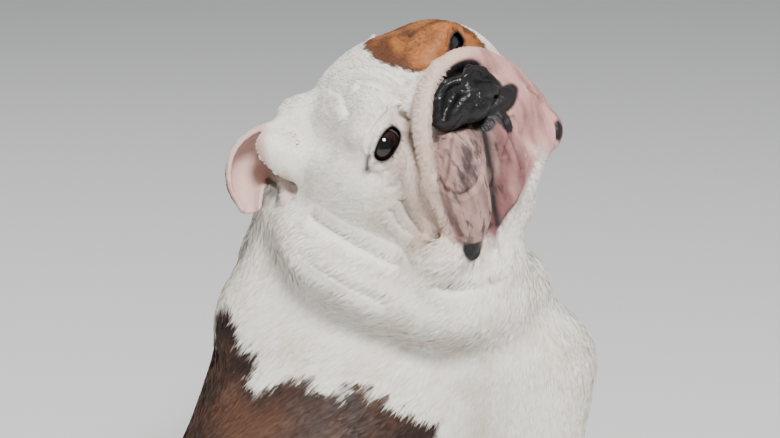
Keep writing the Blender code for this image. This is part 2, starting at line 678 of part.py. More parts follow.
def make_nose(name):
    middle = HEAD.point(NOSE_PLACE)
    flesh = Flesh(middle - NOSE_REACH, middle + NOSE_REACH, NOSE_STEP)
    nose_leather(flesh)
    nose = make_object(name, *flesh.surface())
    fewer_triangles(nose, NOSE_TRIANGLES)
    return nose


def add_claws(nodes):
    """Four claws on each paw, each in a socket of its toe."""
    for side, letter in ((1, "l"), (-1, "r")):
        for limb, spot, turn, size in (("fore", FOREPAW, FOREPAW_TURN, 1.0),
                                       ("hind", HINDPAW, HINDPAW_TURN, HINDPAW_SIZE)):
            place = paw_place(spot, turn, side)
            for number, toe in enumerate(TOES, 1):
                name = f"claw_{limb}_{letter}_{number}"
                nodes[name] = make_claw(name, place, size, toe)
                set_in(nodes[limb + "paw_" + letter], nodes[name])


def add_nose_and_eyes(nodes):
    """The nose and the eyes, each set into a hollow of the head."""
    nodes["nose"] = make_nose("nose")
    nodes["eye_l"] = make_eye("eye_l", 1)
    nodes["eye_r"] = make_eye("eye_r", -1)
    for name in ("nose", "eye_l", "eye_r"):
        set_in(nodes["head"], nodes[name])


COLOURS = {
    "eye": ((0.030, 0.018, 0.012), 0.10),
    "nose": ((0.020, 0.018, 0.020), 0.45),
    "claw": ((0.10, 0.075, 0.06), 0.40),
    "ear": ((0.72, 0.55, 0.50), 0.70),
    "rump": ((0.16, 0.065, 0.035), 0.75),
    "tail": ((0.16, 0.065, 0.035), 0.75),
    "coat": ((0.78, 0.74, 0.68), 0.80),
}


def finish(name, made):
    """A plain material in the sub-part's own colour, and smooth shading."""
    colour, roughness = COLOURS.get(name.split("_")[0], COLOURS["coat"])
    material = bpy.data.materials.new(name)
    material.use_nodes = True
    shader = material.node_tree.nodes["Principled BSDF"]
    shader.inputs["Base Color"].default_value = (*colour, 1.0)
    shader.inputs["Roughness"].default_value = roughness
    shader.inputs["Metallic"].default_value = 0.0
    made.data.materials.clear()
    made.data.materials.append(material)
    made.data.shade_smooth()
    made.data.set_sharp_from_angle(angle=math.radians(50))


def main():
    for old in list(bpy.data.objects):
        bpy.data.objects.remove(old, do_unlink=True)
    body = make_object("body", *flesh_between(*BODY_SPACE, BODY_STEP).surface())
    fewer_triangles(body, BODY_TRIANGLES)
    middle = HEAD.point(HEAD_MIDDLE)
    flesh = flesh_between(middle - HEAD_REACH, middle + HEAD_REACH, HEAD_STEP)
    head = make_object("head", *flesh.surface())
    fewer_triangles(head, HEAD_TRIANGLES)
    nodes = {**part_body(body), **part_head(head)}
    add_claws(nodes)
    add_nose_and_eyes(nodes)
    for name, made in nodes.items():
        finish(name, made)


main()
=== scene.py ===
# Sitting English bulldog at life size, a still display model that looks back over its shoulder.
# Sizes are in millimetres until a mesh is made. Places are (forward, left, up) in the body's
# frame, on the floor under the rump, or in the head's, midway between the eyes.

import math

import bmesh
import bpy
import numpy as np
from mathutils import Matrix, Vector
from mathutils.bvhtree import BVHTree


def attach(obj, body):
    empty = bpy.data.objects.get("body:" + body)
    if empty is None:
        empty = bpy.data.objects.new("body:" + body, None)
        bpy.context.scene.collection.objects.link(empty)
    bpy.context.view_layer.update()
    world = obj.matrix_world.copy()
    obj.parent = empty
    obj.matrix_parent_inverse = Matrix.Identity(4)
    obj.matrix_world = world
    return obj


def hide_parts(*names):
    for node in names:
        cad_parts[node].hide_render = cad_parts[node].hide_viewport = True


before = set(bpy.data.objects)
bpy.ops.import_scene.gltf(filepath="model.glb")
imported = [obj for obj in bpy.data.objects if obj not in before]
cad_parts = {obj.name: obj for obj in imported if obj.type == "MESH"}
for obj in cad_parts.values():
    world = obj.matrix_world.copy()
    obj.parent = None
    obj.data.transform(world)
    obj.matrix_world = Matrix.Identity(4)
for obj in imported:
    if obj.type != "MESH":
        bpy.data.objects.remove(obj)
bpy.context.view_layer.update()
mm = 0.001


# frames of the body, the head and the paws

pose = {
    "headOrigin": (121.0, -74.0, 435.0),
    "headTurn": 103.5,      # degrees to its right
    "headLift": 17.5,
    "headRoll": 38.7,       # left side up
    "forepaw": (220.0, 124.0, 0.0),
    "forepawTurn": 10.0,
    "hindpaw": (124.0, 152.0, 0.0),
    "hindpawTurn": 18.0,
    "hindpawSize": 0.94,
}


def frameAxes(turn, lift, roll):
    turned = Matrix.Rotation(math.radians(-turn), 3, "Z")
    forward = turned @ Vector((0.0, -1.0, 0.0))
    left = turned @ Vector((1.0, 0.0, 0.0))
    forward = Matrix.Rotation(math.radians(-lift), 3, left) @ forward
    left = Matrix.Rotation(math.radians(roll), 3, forward) @ left
    return np.array([forward, left, forward.cross(left)])


class Place:  # a frame at an origin, in world millimetres
    def __init__(self, origin, axes):
        self.origin = np.array(origin, float)
        self.axes = axes

    def point(self, at):
        return self.origin + np.array(at, float) @ self.axes

    def direction(self, way):
        return np.array(way, float) @ self.axes

    def local(self, points):
        return (np.asarray(points) - self.origin) @ self.axes.T

    def turned(self, turn):
        yaw, pitch, roll = (math.radians(angle) for angle in turn)
        inner = Matrix.Rotation(yaw, 3, "Z") @ Matrix.Rotation(-pitch, 3, "Y")
        return np.array(inner @ Matrix.Rotation(roll, 3, "X")).T @ self.axes


body = Place((0, 0, 0), frameAxes(0, 0, 0))
head = Place(body.point(pose["headOrigin"]), frameAxes(pose["headTurn"], pose["headLift"], pose["headRoll"]))


def pawPlace(spot, turn, side):
    f, l, u = spot
    return Place(body.point((f, side * l, u)), frameAxes(-side * turn, 0, 0))


def sided(rows, side):  # rows of the left side, or their mirror image
    return [(f, side * l, u, r) for f, l, u, r in rows]


def smoothLine(rows, spacing):
    rows = np.array(rows, float)
    ends = np.vstack([2 * rows[0] - rows[1], rows, 2 * rows[-1] - rows[-2]])
    line = [rows[0]]
    for start in range(len(rows) - 1):
        a, b, c, d = ends[start:start + 4]
        count = max(2, math.ceil(np.linalg.norm((c - b)[:3]) / spacing))
        for step in range(1, count + 1):
            t = step / count
            line.append(0.5 * (2 * b + (c - a) * t + (2 * a - 5 * b + 4 * c - d) * t * t
                               + (3 * b - 3 * c + d - a) * t ** 3))
    return np.array(line)


# flesh: a distance to the surface at the crossings of grid lines, which lie closer in the head

class Flesh:
    def __init__(self, lines):
        self.lines = lines
        self.step = min(np.diff(line).min() for line in lines)
        self.depth = np.full([len(line) for line in lines], 60, np.float32)

    def window(self, low, high):
        part = tuple(slice(max(np.searchsorted(line, a) - 1, 0), np.searchsorted(line, b) + 1)
                     for line, a, b in zip(self.lines, low, high))
        cut = [line[piece].astype(np.float32) for line, piece in zip(self.lines, part)]
        return part, np.meshgrid(*cut, indexing="ij", sparse=True)

    def join(self, part, distance, blend, cut):  # soft union, or a soft cut
        old = self.depth[part]
        distance = -distance if cut else distance
        soft = np.maximum(blend - np.abs(old - distance), 0)
        soft = soft * soft / (4 * blend)
        self.depth[part] = np.maximum(old, distance) + soft if cut else np.minimum(old, distance) - soft

    def ball(self, place, centre, radii, blend, turn=(0, 0, 0), cut=False):
        middle = place.point(centre)
        axes = place.turned(turn)
        reach = np.sqrt(((axes * np.array(radii)[:, None]) ** 2).sum(axis=0)) + blend + 8
        part, grid = self.window(middle - reach, middle + reach)
        x, y, z = (line - np.float32(value) for line, value in zip(grid, middle))
        near = slope = np.float32(0)
        for axis, radius in zip(axes.astype(np.float32), radii):
            along = (x * axis[0] + y * axis[1] + z * axis[2]) / np.float32(radius)
            near = near + along ** 2
            slope = slope + (along / np.float32(radius)) ** 2
        near = np.sqrt(near)
        distance = near * (near - 1) / np.sqrt(np.maximum(slope, 1e-9))
        distance = np.where(near < 0.2, np.float32(-0.8 * min(radii)), distance)
        self.join(part, distance, blend, cut)

    def rope(self, place, rows, blend, cut=False):
        rows = np.array([[*place.point(row[:3]), row[3]] for row in rows])
        line = smoothLine(rows, 0.4 * rows[:, 3].min() + 0.5 * self.step).astype(np.float32)
        reach = line[:, 3:].max() + blend + 8
        window, (x, y, z) = self.window(line[:, :3].min(axis=0) - reach, line[:, :3].max(axis=0) + reach)
        distance = np.full([x.size, y.size, z.size], 60, np.float32)
        for start, end in zip(line, line[1:]):
            run = end[:3] - start[:3]
            dx, dy, dz = x - start[0], y - start[1], z - start[2]
            share = np.clip((dx * run[0] + dy * run[1] + dz * run[2]) / max(run @ run, 1e-6), 0, 1)
            off = [d - share * part for d, part in zip((dx, dy, dz), run)]
            away = np.sqrt(off[0] ** 2 + off[1] ** 2 + off[2] ** 2)
            distance = np.minimum(distance, away - start[3] - share * (end[3] - start[3]))
        self.join(window, distance, blend, cut)

    def sheet(self, rows, thickness, blend):
        across = rows.shape[1]
        corners = rows.reshape(-1, 3)
        faces = [(i * across + j, i * across + j + 1, (i + 1) * across + j + 1, (i + 1) * across + j)
                 for i in range(len(rows) - 1) for j in range(across - 1)]
        tree = BVHTree.FromPolygons(corners.tolist(), faces)
        reach = thickness + blend + 4
        part, grid = self.window(corners.min(axis=0) - reach, corners.max(axis=0) + reach)
        spots = np.stack(np.broadcast_arrays(*grid), axis=-1)
        found = [tree.find_nearest(spot, reach)[3] for spot in spots.reshape(-1, 3).tolist()]
        distance = np.array([reach if near is None else near for near in found], np.float32)
        self.join(part, distance.reshape(spots.shape[:3]) - thickness / 2, blend, False)

    def balls(self, place, centre, radii, blend, turn=(0, 0, 0), cut=False):
        f, l, u = centre
        yaw, pitch, roll = turn
        for side in (1, -1):
            self.ball(place, (f, side * l, u), radii, blend, (side * yaw, pitch, side * roll), cut)

    def ropes(self, place, rows, blend, cut=False):
        for side in (1, -1):
            self.rope(place, sided(rows, side), blend, cut)

    def surface(self):  # one corner in each cell that the surface crosses
        inside = self.depth < 0
        n = np.array(inside.shape) - 1
        moves = np.array(list(np.ndindex(2, 2, 2)))
        total = sum(inside[i:i + n[0], j:j + n[1], k:k + n[2]].astype(np.uint8) for i, j, k in moves)
        cells = np.argwhere((total > 0) & (total < 8))
        index = np.full(total.shape, -1, np.int32)
        index[tuple(cells.T)] = np.arange(len(cells))
        value = np.array([self.depth[tuple((cells + move).T)] for move in moves])
        spot = np.zeros((len(cells), 3))
        number = np.zeros(len(cells))
        for a, b in [(a, b) for a in range(8) for b in range(a + 1, 8) if (moves[a] != moves[b]).sum() == 1]:
            crossed = (value[a] < 0) != (value[b] < 0)
            share = np.where(crossed, value[a] / np.where(crossed, value[a] - value[b], 1), 0)
            spot += (moves[a] + share[:, None] * (moves[b] - moves[a])) * crossed[:, None]
            number += crossed
        low = np.stack([line[cells[:, i]] for i, line in enumerate(self.lines)], axis=1)
        high = np.stack([line[cells[:, i] + 1] for i, line in enumerate(self.lines)], axis=1)
        points = low + spot / number[:, None] * (high - low)
        faces = []
        for axis in range(3):
            behind = tuple(slice(None, -1) if i == axis else slice(None) for i in range(3))
            ahead = tuple(slice(1, None) if i == axis else slice(None) for i in range(3))
            at = np.argwhere(inside[behind] != inside[ahead])
            b, c = (axis + 1) % 3, (axis + 2) % 3
            at = at[(at[:, b] > 0) & (at[:, b] < n[b]) & (at[:, c] > 0) & (at[:, c] < n[c])]
            ring = []
            for stepB, stepC in ((-1, -1), (0, -1), (0, 0), (-1, 0)):
                cell = at.copy()
                cell[:, b] += stepB
                cell[:, c] += stepC
                ring.append(index[tuple(cell.T)])
            ring = np.array(ring).T
            turnedIn = ~inside[tuple(at.T)]
            ring[turnedIn] = ring[turnedIn][:, ::-1]
            faces.append(ring)
        return points, np.vstack(faces)


def gridLine(low, high, centre, reach, fine, coarse):
    line = list(np.arange(max(low, centre - reach), min(high, centre + reach), fine))
    step = fine
    while line[-1] < high:
        step = min(step * 1.08, coarse)
        line.append(line[-1] + step)
    step = fine
    while line[0] > low:
        step = min(step * 1.08, coarse)
        line.insert(0, line[0] - step)
    return np.array(line)


def evenGrid(middle, reach, step):
    return [np.arange(value - reach, value + reach, step) for value in middle]


# masses of the dog, as centre, radii and blend, or as rows of forward, left, up and radius

noseShape = {
    "place": (40.0, 1.0, -12.0),
    "turn": (0, 18, -18),   # tilted back, and rolled less than the skull
    "step": 0.9,
    "reach": 42.0,
    "tip": (14, 20, 14),
    "base": ((1, 1, -11), (12, 12, 9)),
    "wing": ((-4, 15, -3), (13, 13, 13)),
    "rim": [(12, 3, 8, 3), (9, 11, 11, 3.5), (3, 20, 6, 4)],
    "nostril": [(15, 5, 1, 3), (13, 10, 4, 4.6), (9, 16, 1, 4.2), (4, 23, -6, 2.6)],
    "wingFold": [(8, 9, -5, 2.6), (4, 17, -7, 3), (-3, 24, -6, 3)],
    "topCrease": [(13, 7, 13, 1), (7, 17, 11, 1.4), (-1, 25, 4, 1.4)],
    "lowCrease": [(12, 6, -10, 1), (6, 14, -13, 1.2), (-2, 21, -13, 1)],
    "middleGroove": [(16, 0, 6, 1.2), (15, 0, -8, 1.5), (12, 0, -22, 2)],
}
eyeShape = {
    "radius": 13.0,
    "left": (-6.0, 43.0, 0.0),
    "right": (-4.0, -44.0, -5.0),
    "lidWidth": 18.0,
    "lidHeight": 11.8,
    "lidRadius": 2.2,
    "lidBend": 340,         # square of the reach at which a lid would meet the ball's side
    "socketWall": 5.5,
    "socketGap": 1.5,
}
faceRows = {
    "rollRight": [(29, 8, 7, 6.5), (32, -12, 8, 6.6), (32, -30, -2, 6.4), (28, -44, -20, 6),
                  (22, -55, -44, 5), (17, -62, -68, 4.6), (15, -64, -83, 3.5)],
    "rollLeft": [(29, 8, 7, 6.5), (31, 22, 2, 7.5), (29, 36, -13, 9), (23, 47, -38, 9.5), (14, 56, -66, 9),
                 (6, 61, -90, 7)],
    "lipRight": [(31, -26, -36, 17), (28, -39, -53, 18), (24, -48, -71, 15.5), (20, -57, -83, 9),
                 (19, -60, -88, 6.5)],
    "lipMiddle": [(29, 1, -47, 18), (25, -2, -68, 18), (20, -16, -86, 13), (19, -30, -94, 8)],
    "lipLeft": [(22, 30, -50, 21), (18, 36, -72, 16), (13, 46, -92, 12)],
    "lipEdge": [(12, 50, -88, 13), (16, 32, -84, 17), (16, 12, -84, 18)],
    "lipKnot": [(40, 9, -33, 5.5), (40, 20, -37, 6.5), (37, 31, -40, 5)],
    "lipKnotLow": [(41, 9, -40, 5.5), (43, 8, -47, 5)],
    "brow": [(-18, -17, 23, 9), (-4, -29, 17, 10.5), (-3, -46, 11, 8)],
    "stop": [(14, 2, 16, 3), (-6, 4, 27, 5), (-30, 4, 34, 5), (-60, 0, 41, 4)],
    "stopFold": [(-42, -9, 30, 6), (-22, -8, 25, 6), (0, -13, 10, 5), (12, -20, 3, 4)],
    "jowl": [(13, 42, -38, 16), (5, 50, -64, 14)],
    "mouth": [(46, -7, -33, 1.2), (44, -12, -42, 1.5), (41, -21, -56, 1.8), (36, -28, -70, 2),
              (30, -36, -84, 2), (25, -44, -93, 1.5)],
    "chinGroove": [(37, 16, -82, 1), (35, -4, -89, 1.6), (29, -22, -94, 2), (25, -38, -98, 2),
                   (22, -54, -99, 1.5)],
    "rollGroove": [(38, -30, -8, 1.5), (35, -44, -26, 2), (30, -57, -49, 2), (24, -64, -74, 2)],
    "cheekGroove": [(18, -22, 6, 1.5), (24, -46, -14, 1.5), (15, -62, -38, 2), (11, -68, -62, 2.2),
                    (10, -70, -78, 1.2)],
    "eyeHollow": [(10, -24, 4, 2), (12, -20, -8, 2.5)],
}
lipBlends = {"lipEdge": 10, "lipRight": 3, "lipMiddle": 3, "lipLeft": 6, "lipKnot": 2, "lipKnotLow": 2,
             "rollRight": 3, "rollLeft": 5}
grooveBlends = {"eyeHollow": 5, "mouth": 3, "rollGroove": 3, "cheekGroove": 5, "chinGroove": 3}
earShape = {
    "right": [(-66, -42, 2, 22), (-80, -60, 16, 24), (-93, -74, 26, 19), (-96, -90, 22, 13),
              (-91, -104, 10, 6)],
    "rightOpening": (0.90, -0.38, 0.18),
    "left": [(-66, 42, -2, 20), (-82, 54, -4, 20), (-98, 66, -12, 17), (-106, 76, -28, 12),
             (-102, 84, -44, 6)],
    "leftOpening": (0.55, 0.80, 0.20),
    "reach": (-80.0, 105.0),    # degrees that the flap bends round its line
    "thickness": 3.4,
    "hole": [(-78, 78, 2, 6), (-62, 56, -10, 4)],
    "ridge": [(-94, -56, 3, 4), (-88, -70, 4, 4.5), (-87, -84, -3, 3.5)],
}
trunkMasses = {     # with how far each leans forward
    "rump": ((18, 0, 84), (86, 98, 90), 20, 0),
    "belly": ((80, 0, 132), (92, 90, 96), 36, 0),
    "barrel": ((140, 0, 212), (134, 106, 100), 36, 58),
    "breast": ((182, 0, 200), (88, 112, 95), 24, 0),
    "shoulderLeft": ((180, 86, 250), (54, 50, 74), 22, 14),
    "shoulderRight": ((180, -94, 252), (54, 50, 76), 22, 14),
    "withers": ((140, -8, 314), (66, 76, 54), 24, 0),
    "neckSide": ((150, -108, 318), (34, 34, 30), 14, 0),
    "back": ((92, 30, 262), (46, 43, 44), 20, 0),
    "neckFold": ((112, -104, 330), (26, 24, 20), 10, 0),
}
neckRows = {
    "neck": [(160, 0, 276, 94), (150, -10, 335, 76)],
    "skull": (-52, 0, -36),     # where it meets the head, in the head's frame
    "skullRadius": 60,
    "roll": [(90, 14, 344, 13), (70, -18, 332, 18), (76, -44, 316, 23), (92, -72, 302, 26),
             (116, -100, 292, 27), (150, -118, 290, 26), (184, -118, 296, 20)],
}
legRows = {
    "foreLeft": [(188, 102, 226, 46), (184, 114, 168, 41), (200, 130, 112, 35), (211, 126, 62, 29),
                 (216, 124, 34, 27)],
    "foreRight": [(196, -118, 230, 51), (188, -122, 168, 44), (200, -134, 112, 36), (211, -128, 62, 29),
                  (216, -124, 34, 27)],
    "thigh": ((60, 100, 76), (82, 54, 71)),
    "thighTurn": 16,
    "shank": [(108, 132, 84, 38), (80, 140, 56, 32), (40, 140, 34, 24)],
    "hock": [(34, 140, 24, 24), (84, 148, 20, 22), (116, 151, 20, 22)],
    "tail": [(-52, 0, 88, 24), (-78, 0, 62, 17), (-88, 0, 38, 11), (-82, 0, 17, 7)],
}
toes = [(12.0, -21.0), (21.0, -7.5), (21.0, 7.5), (12.0, 21.0)]
skullMasses = {     # and whether there is one on each side
    "skull": ((-54, 0, -20), (60, 70, 55), 20, False),
    "crownLeft": ((-30, 25, -6), (34, 32, 25), 14, False),
    "crownRight": ((-30, -26, 6), (32, 30, 26), 12, False),
    "cheek": ((-42, 58, -32), (46, 29, 44), 18, True),
    "jaw": ((-35, -4, -74), (62, 64, 40), 20, False),
    "snout": ((6, 0, -42), (32, 48, 36), 14, False),
    "temple": ((-74, -54, 0), (20, 17, 26), 12, False),
    "crest": ((-78, -36, 24), (17, 18, 18), 12, False),
    "browLeft": ((-4, 38, 7), (13, 20, 8), 10, False),
    "browRight": ((-6, -38, 12), (13, 20, 8), 8, False),
}
earRoot = ((-75, -66, 21), (16, 15, 21), 8)
templeHollow = ((-34, -60, 29), (14, 8, 16), 16)
muzzleMasses = {
    "chin": ((12, -8, -88), (24, 28, 18), 10, False),
    "chinSide": ((-8, -50, -88), (18, 26, 23), 20, False),
    "throat": ((-4, -16, -104), (28, 34, 20), 14, False),
    "bridge": ((12, 0, -10), (24, 26, 18), 10, False),
    "cheekPad": ((7, 42, -32), (19, 19, 24), 12, True),
}
whiskerPad = ((24, 26, -46), (19, 26, 24), 8)


def addTrunk(flesh):
    for centre, radii, blend, lean in trunkMasses.values():
        flesh.ball(body, centre, radii, blend, turn=(0, lean, 0))


def addNeck(flesh):
    skull = body.local(head.point(neckRows["skull"]))
    flesh.rope(body, [*neckRows["neck"], (*skull, neckRows["skullRadius"])], 24)
    flesh.rope(body, neckRows["roll"], 18)


def addLegs(flesh):
    flesh.rope(body, legRows["foreLeft"], 14)
    flesh.rope(body, legRows["foreRight"], 14)
    flesh.balls(body, *legRows["thigh"], 20, turn=(legRows["thighTurn"], 0, 0))
    flesh.ropes(body, legRows["shank"], 12)
    flesh.ropes(body, legRows["hock"], 8)
    flesh.rope(body, legRows["tail"], 12)


def addPaw(flesh, place, size):
    flesh.ball(place, (4 * size, 0, 14 * size), np.array((26, 27, 22)) * size, 10)
    for forward, across in toes:
        knuckle = (forward * size, across * size, 19 * size)
        tip = ((forward + 11) * size, across * 1.1 * size, 9 * size)
        flesh.rope(place, [(*knuckle, 10 * size), (*tip, 9.5 * size)], 3)


def addMasses(flesh, masses):
    for centre, radii, blend, paired in masses.values():
        add = flesh.balls if paired else flesh.ball
        add(head, centre, radii, blend)


def addSkull(flesh):
    addMasses(flesh, skullMasses)
    flesh.rope(head, faceRows["stop"], 10, cut=True)
    flesh.rope(head, faceRows["stopFold"], 8)
    flesh.rope(head, faceRows["brow"], 7)
    flesh.ball(head, *earRoot)
    flesh.ball(head, *templeHollow, cut=True)


def addMuzzle(flesh):
    addMasses(flesh, muzzleMasses)
    flesh.ropes(head, faceRows["jowl"], 12)
    flesh.balls(head, *whiskerPad)
    for name, blend in lipBlends.items():
        flesh.rope(head, faceRows[name], blend)
    for name, blend in grooveBlends.items():
        flesh.rope(head, faceRows[name], blend, cut=True)


def eyeMiddle(side):
    return np.array(eyeShape["left"] if side > 0 else eyeShape["right"])


def lidRows(side, lid, radius):
    middle = eyeMiddle(side)
    rows = []
    for angle in range(0, 181, 30):
        across = eyeShape["lidWidth"] * math.cos(math.radians(angle))
        rise = eyeShape["lidHeight"] * math.sin(math.radians(angle))
        bend = (across ** 2 + rise ** 2) / eyeShape["lidBend"]
        reach = eyeShape["radius"] * math.sqrt(max(1 - bend, 0.1))
        rows.append((*(middle + (reach, side * across, lid * rise)), radius))
    return rows


def addSockets(flesh):
    for side in (1, -1):
        middle = eyeMiddle(side)
        flesh.ball(head, middle - (5, 0, 0), [eyeShape["radius"] + eyeShape["socketWall"]] * 3, 8)
        flesh.ball(head, middle, [eyeShape["radius"] + eyeShape["socketGap"]] * 3, 3, cut=True)
        for lid in (1, -1):
            flesh.rope(head, lidRows(side, lid, eyeShape["lidRadius"]), 3)


def addEar(flesh, rows, opening, side):
    line = smoothLine(rows, 4)
    along = np.gradient(line[:, :3], axis=0)
    along /= np.linalg.norm(along, axis=1)[:, None]
    out = opening - (along @ opening)[:, None] * along
    out /= np.linalg.norm(out, axis=1)[:, None]
    beside = -side * np.cross(along, out)
    points = []
    for angle in np.radians(np.linspace(*earShape["reach"], 15)):
        way = math.sin(angle) * beside - math.cos(angle) * out
        points.append(head.point(line[:, :3] + line[:, 3:] * way))
    flesh.sheet(np.array(points), earShape["thickness"], 4)
    flesh.rope(head, [(*row[:3], row[3] - earShape["thickness"]) for row in rows[1:3]], 1, cut=True)
    flesh.rope(head, sided(earShape["hole"], side), 3, cut=True)


nosePlace = Place(head.point(noseShape["place"]), head.turned(noseShape["turn"]))


def addNose(flesh):
    flesh.ball(nosePlace, (0, 0, 0), noseShape["tip"], 3)
    flesh.ball(nosePlace, *noseShape["base"], 4)
    for side in (1, -1):
        forward, across, up = noseShape["wing"][0]
        flesh.ball(nosePlace, (forward, side * across, up), noseShape["wing"][1], 5)
        flesh.rope(nosePlace, sided(noseShape["rim"], side), 3)
    for side in (1, -1):
        flesh.rope(nosePlace, sided(noseShape["nostril"], side), 2.5, cut=True)
        flesh.rope(nosePlace, sided(noseShape["wingFold"], side), 4)
        flesh.rope(nosePlace, sided(noseShape["topCrease"], side), 2, cut=True)
        flesh.rope(nosePlace, sided(noseShape["lowCrease"], side), 2, cut=True)
    flesh.rope(nosePlace, noseShape["middleGroove"], 3, cut=True)


def linked(made):
    bpy.context.scene.collection.objects.link(made)
    return made


def meshObject(name, points, faces):
    points = np.asarray(points, np.float32) * mm
    faces = np.asarray(faces, np.int32)
    mesh = bpy.data.meshes.new(name)
    mesh.vertices.add(len(points))
    mesh.vertices.foreach_set("co", points.ravel())
    mesh.loops.add(faces.size)
    mesh.loops.foreach_set("vertex_index", faces.ravel())
    mesh.polygons.add(len(faces))
    mesh.polygons.foreach_set("loop_start", np.arange(0, faces.size, faces.shape[1], dtype=np.int32))
    mesh.update(calc_edges=True)
    mesh.validate()
    mesh.shade_smooth()
    return linked(bpy.data.objects.new(name, mesh))


def meshFromShape(name, shape):
    mesh = bpy.data.meshes.new(name)
    shape.to_mesh(mesh)
    shape.free()
    mesh.shade_smooth()
    return linked(bpy.data.objects.new(name, mesh))


def finished(made):  # applies the modifiers
    shown = made.evaluated_get(bpy.context.evaluated_depsgraph_get())
    mesh = bpy.data.meshes.new_from_object(shown)
    made.modifiers.clear()
    made.data = mesh
    return made


# one skin for the whole dog

skinGrid = {"low": (-222, -332, -8), "high": (222, 152, 500), "headMiddle": (-20, 0, -36), "reach": 108,
            "fine": 1.1, "coarse": 3.4, "quickFine": 2.2, "quickCoarse": 5.0, "triangles": 190000,
            "face": (14, -12, -45), "faceReach": 84.0, "faceShare": 0.12}


def makeSkin():
    fine = skinGrid["fine"]
    coarse = skinGrid["coarse"]
    middle = head.point(skinGrid["headMiddle"])
    flesh = Flesh([gridLine(*spans, skinGrid["reach"], fine, coarse)
                   for spans in zip(skinGrid["low"], skinGrid["high"], middle)])
    print("grid", flesh.depth.shape)
    addTrunk(flesh)
    addNeck(flesh)
    addLegs(flesh)
    for side in (1, -1):
        addPaw(flesh, pawPlace(pose["forepaw"], pose["forepawTurn"], side), 1.0)
        addPaw(flesh, pawPlace(pose["hindpaw"], pose["hindpawTurn"], side), pose["hindpawSize"])
    addSkull(flesh)
    addMuzzle(flesh)
    addSockets(flesh)
    addEar(flesh, earShape["right"], np.array(earShape["rightOpening"]), -1)
    addEar(flesh, earShape["left"], np.array(earShape["leftOpening"]), 1)
    flesh.rope(head, earShape["ridge"], 4)
    points, faces = flesh.surface()
    points[:, 2] = np.maximum(points[:, 2], 0)
    print("skin faces", len(faces))
    return meshObject("skin", points, faces)


def skinShares(made):  # the face keeps more of its triangles than the body
    places = np.zeros(len(made.data.vertices) * 3, np.float32)
    made.data.vertices.foreach_get("co", places)
    away = np.linalg.norm(head.local(places.reshape(-1, 3) / mm) - skinGrid["face"], axis=1)
    group = made.vertex_groups.new(name="coarser")
    group.add(np.where(away < skinGrid["faceReach"])[0].tolist(), skinGrid["faceShare"], "REPLACE")
    group.add(np.where(away >= skinGrid["faceReach"])[0].tolist(), 1.0, "REPLACE")
    return group


skin = makeSkin()
skin.data.calc_loop_triangles()
if len(skin.data.loop_triangles) > skinGrid["triangles"]:
    fewer = skin.modifiers.new("fewer", "DECIMATE")
    fewer.ratio = skinGrid["triangles"] / len(skin.data.loop_triangles)
    fewer.vertex_group = skinShares(skin).name
    finished(skin)
print("skin made", len(skin.data.polygons))


def readVectors(data, name, count):
    values = np.zeros(count * 3, np.float32)
    data.foreach_get(name, values)
    return values.reshape(-1, 3)


def lineDistance(points, rows, spacing=3.0):  # distance to a line, and the radius there
    line = smoothLine([(*row, 0) if len(row) == 3 else row for row in rows], spacing)
    best = np.full(len(points), 1e9)
    radius = np.zeros(len(points))
    for start, end in zip(line, line[1:]):
        run = end[:3] - start[:3]
        share = np.clip((points - start[:3]) @ run / max(run @ run, 1e-9), 0, 1)
        away = np.linalg.norm(points - start[:3] - share[:, None] * run, axis=1)
        near = away < best
        best[near] = away[near]
        radius[near] = (start[3] + share * (end[3] - start[3]))[near]
    return best, radius


def smoothStep(low, high, value):
    t = np.clip((value - low) / (high - low), 0, 1)
    return t * t * (3 - 2 * t)


# fine creases of the face and neck: rows in the head's or the body's frame, width and depth

headCreases = {
    "cheekFold": ([(4, -66, -36), (0, -68, -52), (2, -69, -70)], 2.2, 2.4),
    "cheekFoldLow": ([(-4, -70, -37), (-9, -68, -56), (-6, -68, -74)], 2.4, 1.8),
    "rollFold": ([(25, -50, -20), (18, -60, -44), (12, -66, -66)], 1.4, 0.9),
    "padEdge": ([(30, -50, -37), (32, -51, -44), (36, -47, -52), (39, -38, -53), (41, -28, -48),
                 (42, -17, -41)], 1.5, 2.0),
    "padFoldOne": ([(39, -26, -24), (37, -40, -34), (34, -47, -40)], 1.1, 1.3),
    "padFoldTwo": ([(42, -18, -30), (41, -29, -39), (38, -38, -46)], 1.2, 1.1),
    "lobeFoldOne": ([(33, -50, -56), (28, -56, -70), (24, -60, -82)], 1.4, 1.2),
    "lobeFoldTwo": ([(35, -38, -62), (30, -46, -76), (26, -54, -86)], 1.4, 1.0),
    "flewFoldLeft": ([(44, 4, -52), (42, 0, -64), (38, -4, -78)], 1.4, 2.0),
    "flewFoldLeftTwo": ([(43, 16, -50), (43, 12, -62), (40, 8, -74)], 1.4, 1.7),
    "flewFoldLeftThree": ([(45, 8, -44), (45, 2, -52), (42, -8, -60)], 1.2, 1.6),
    "flewRimLeft": ([(38, 41, -49), (24, 54, -70), (27, 50, -82), (29, 45, -90), (28, 40, -94)], 1.8, 3.2),
    "lidFold": ([(10, -25, 8), (11, -36, 11), (8, -48, 11), (3, -58, 4)], 1.5, 1.8),
    "underLid": ([(12, -30, -12), (9, -44, -16), (3, -58, -14)], 1.6, 1.3),
    "underLidLow": ([(14, -38, -22), (9, -54, -26), (2, -64, -24)], 1.8, 1.0),
    "browFold": ([(-10, -22, 30), (4, -18, 20), (12, -18, 8)], 2.2, 2.2),
    "foreheadFold": ([(-34, 0, 34), (-16, -1, 26), (4, -2, 14)], 2.4, 2.4),
    "foreheadFoldTwo": ([(-40, -20, 32), (-26, -26, 30), (-14, -38, 24)], 2.6, 1.4),
}
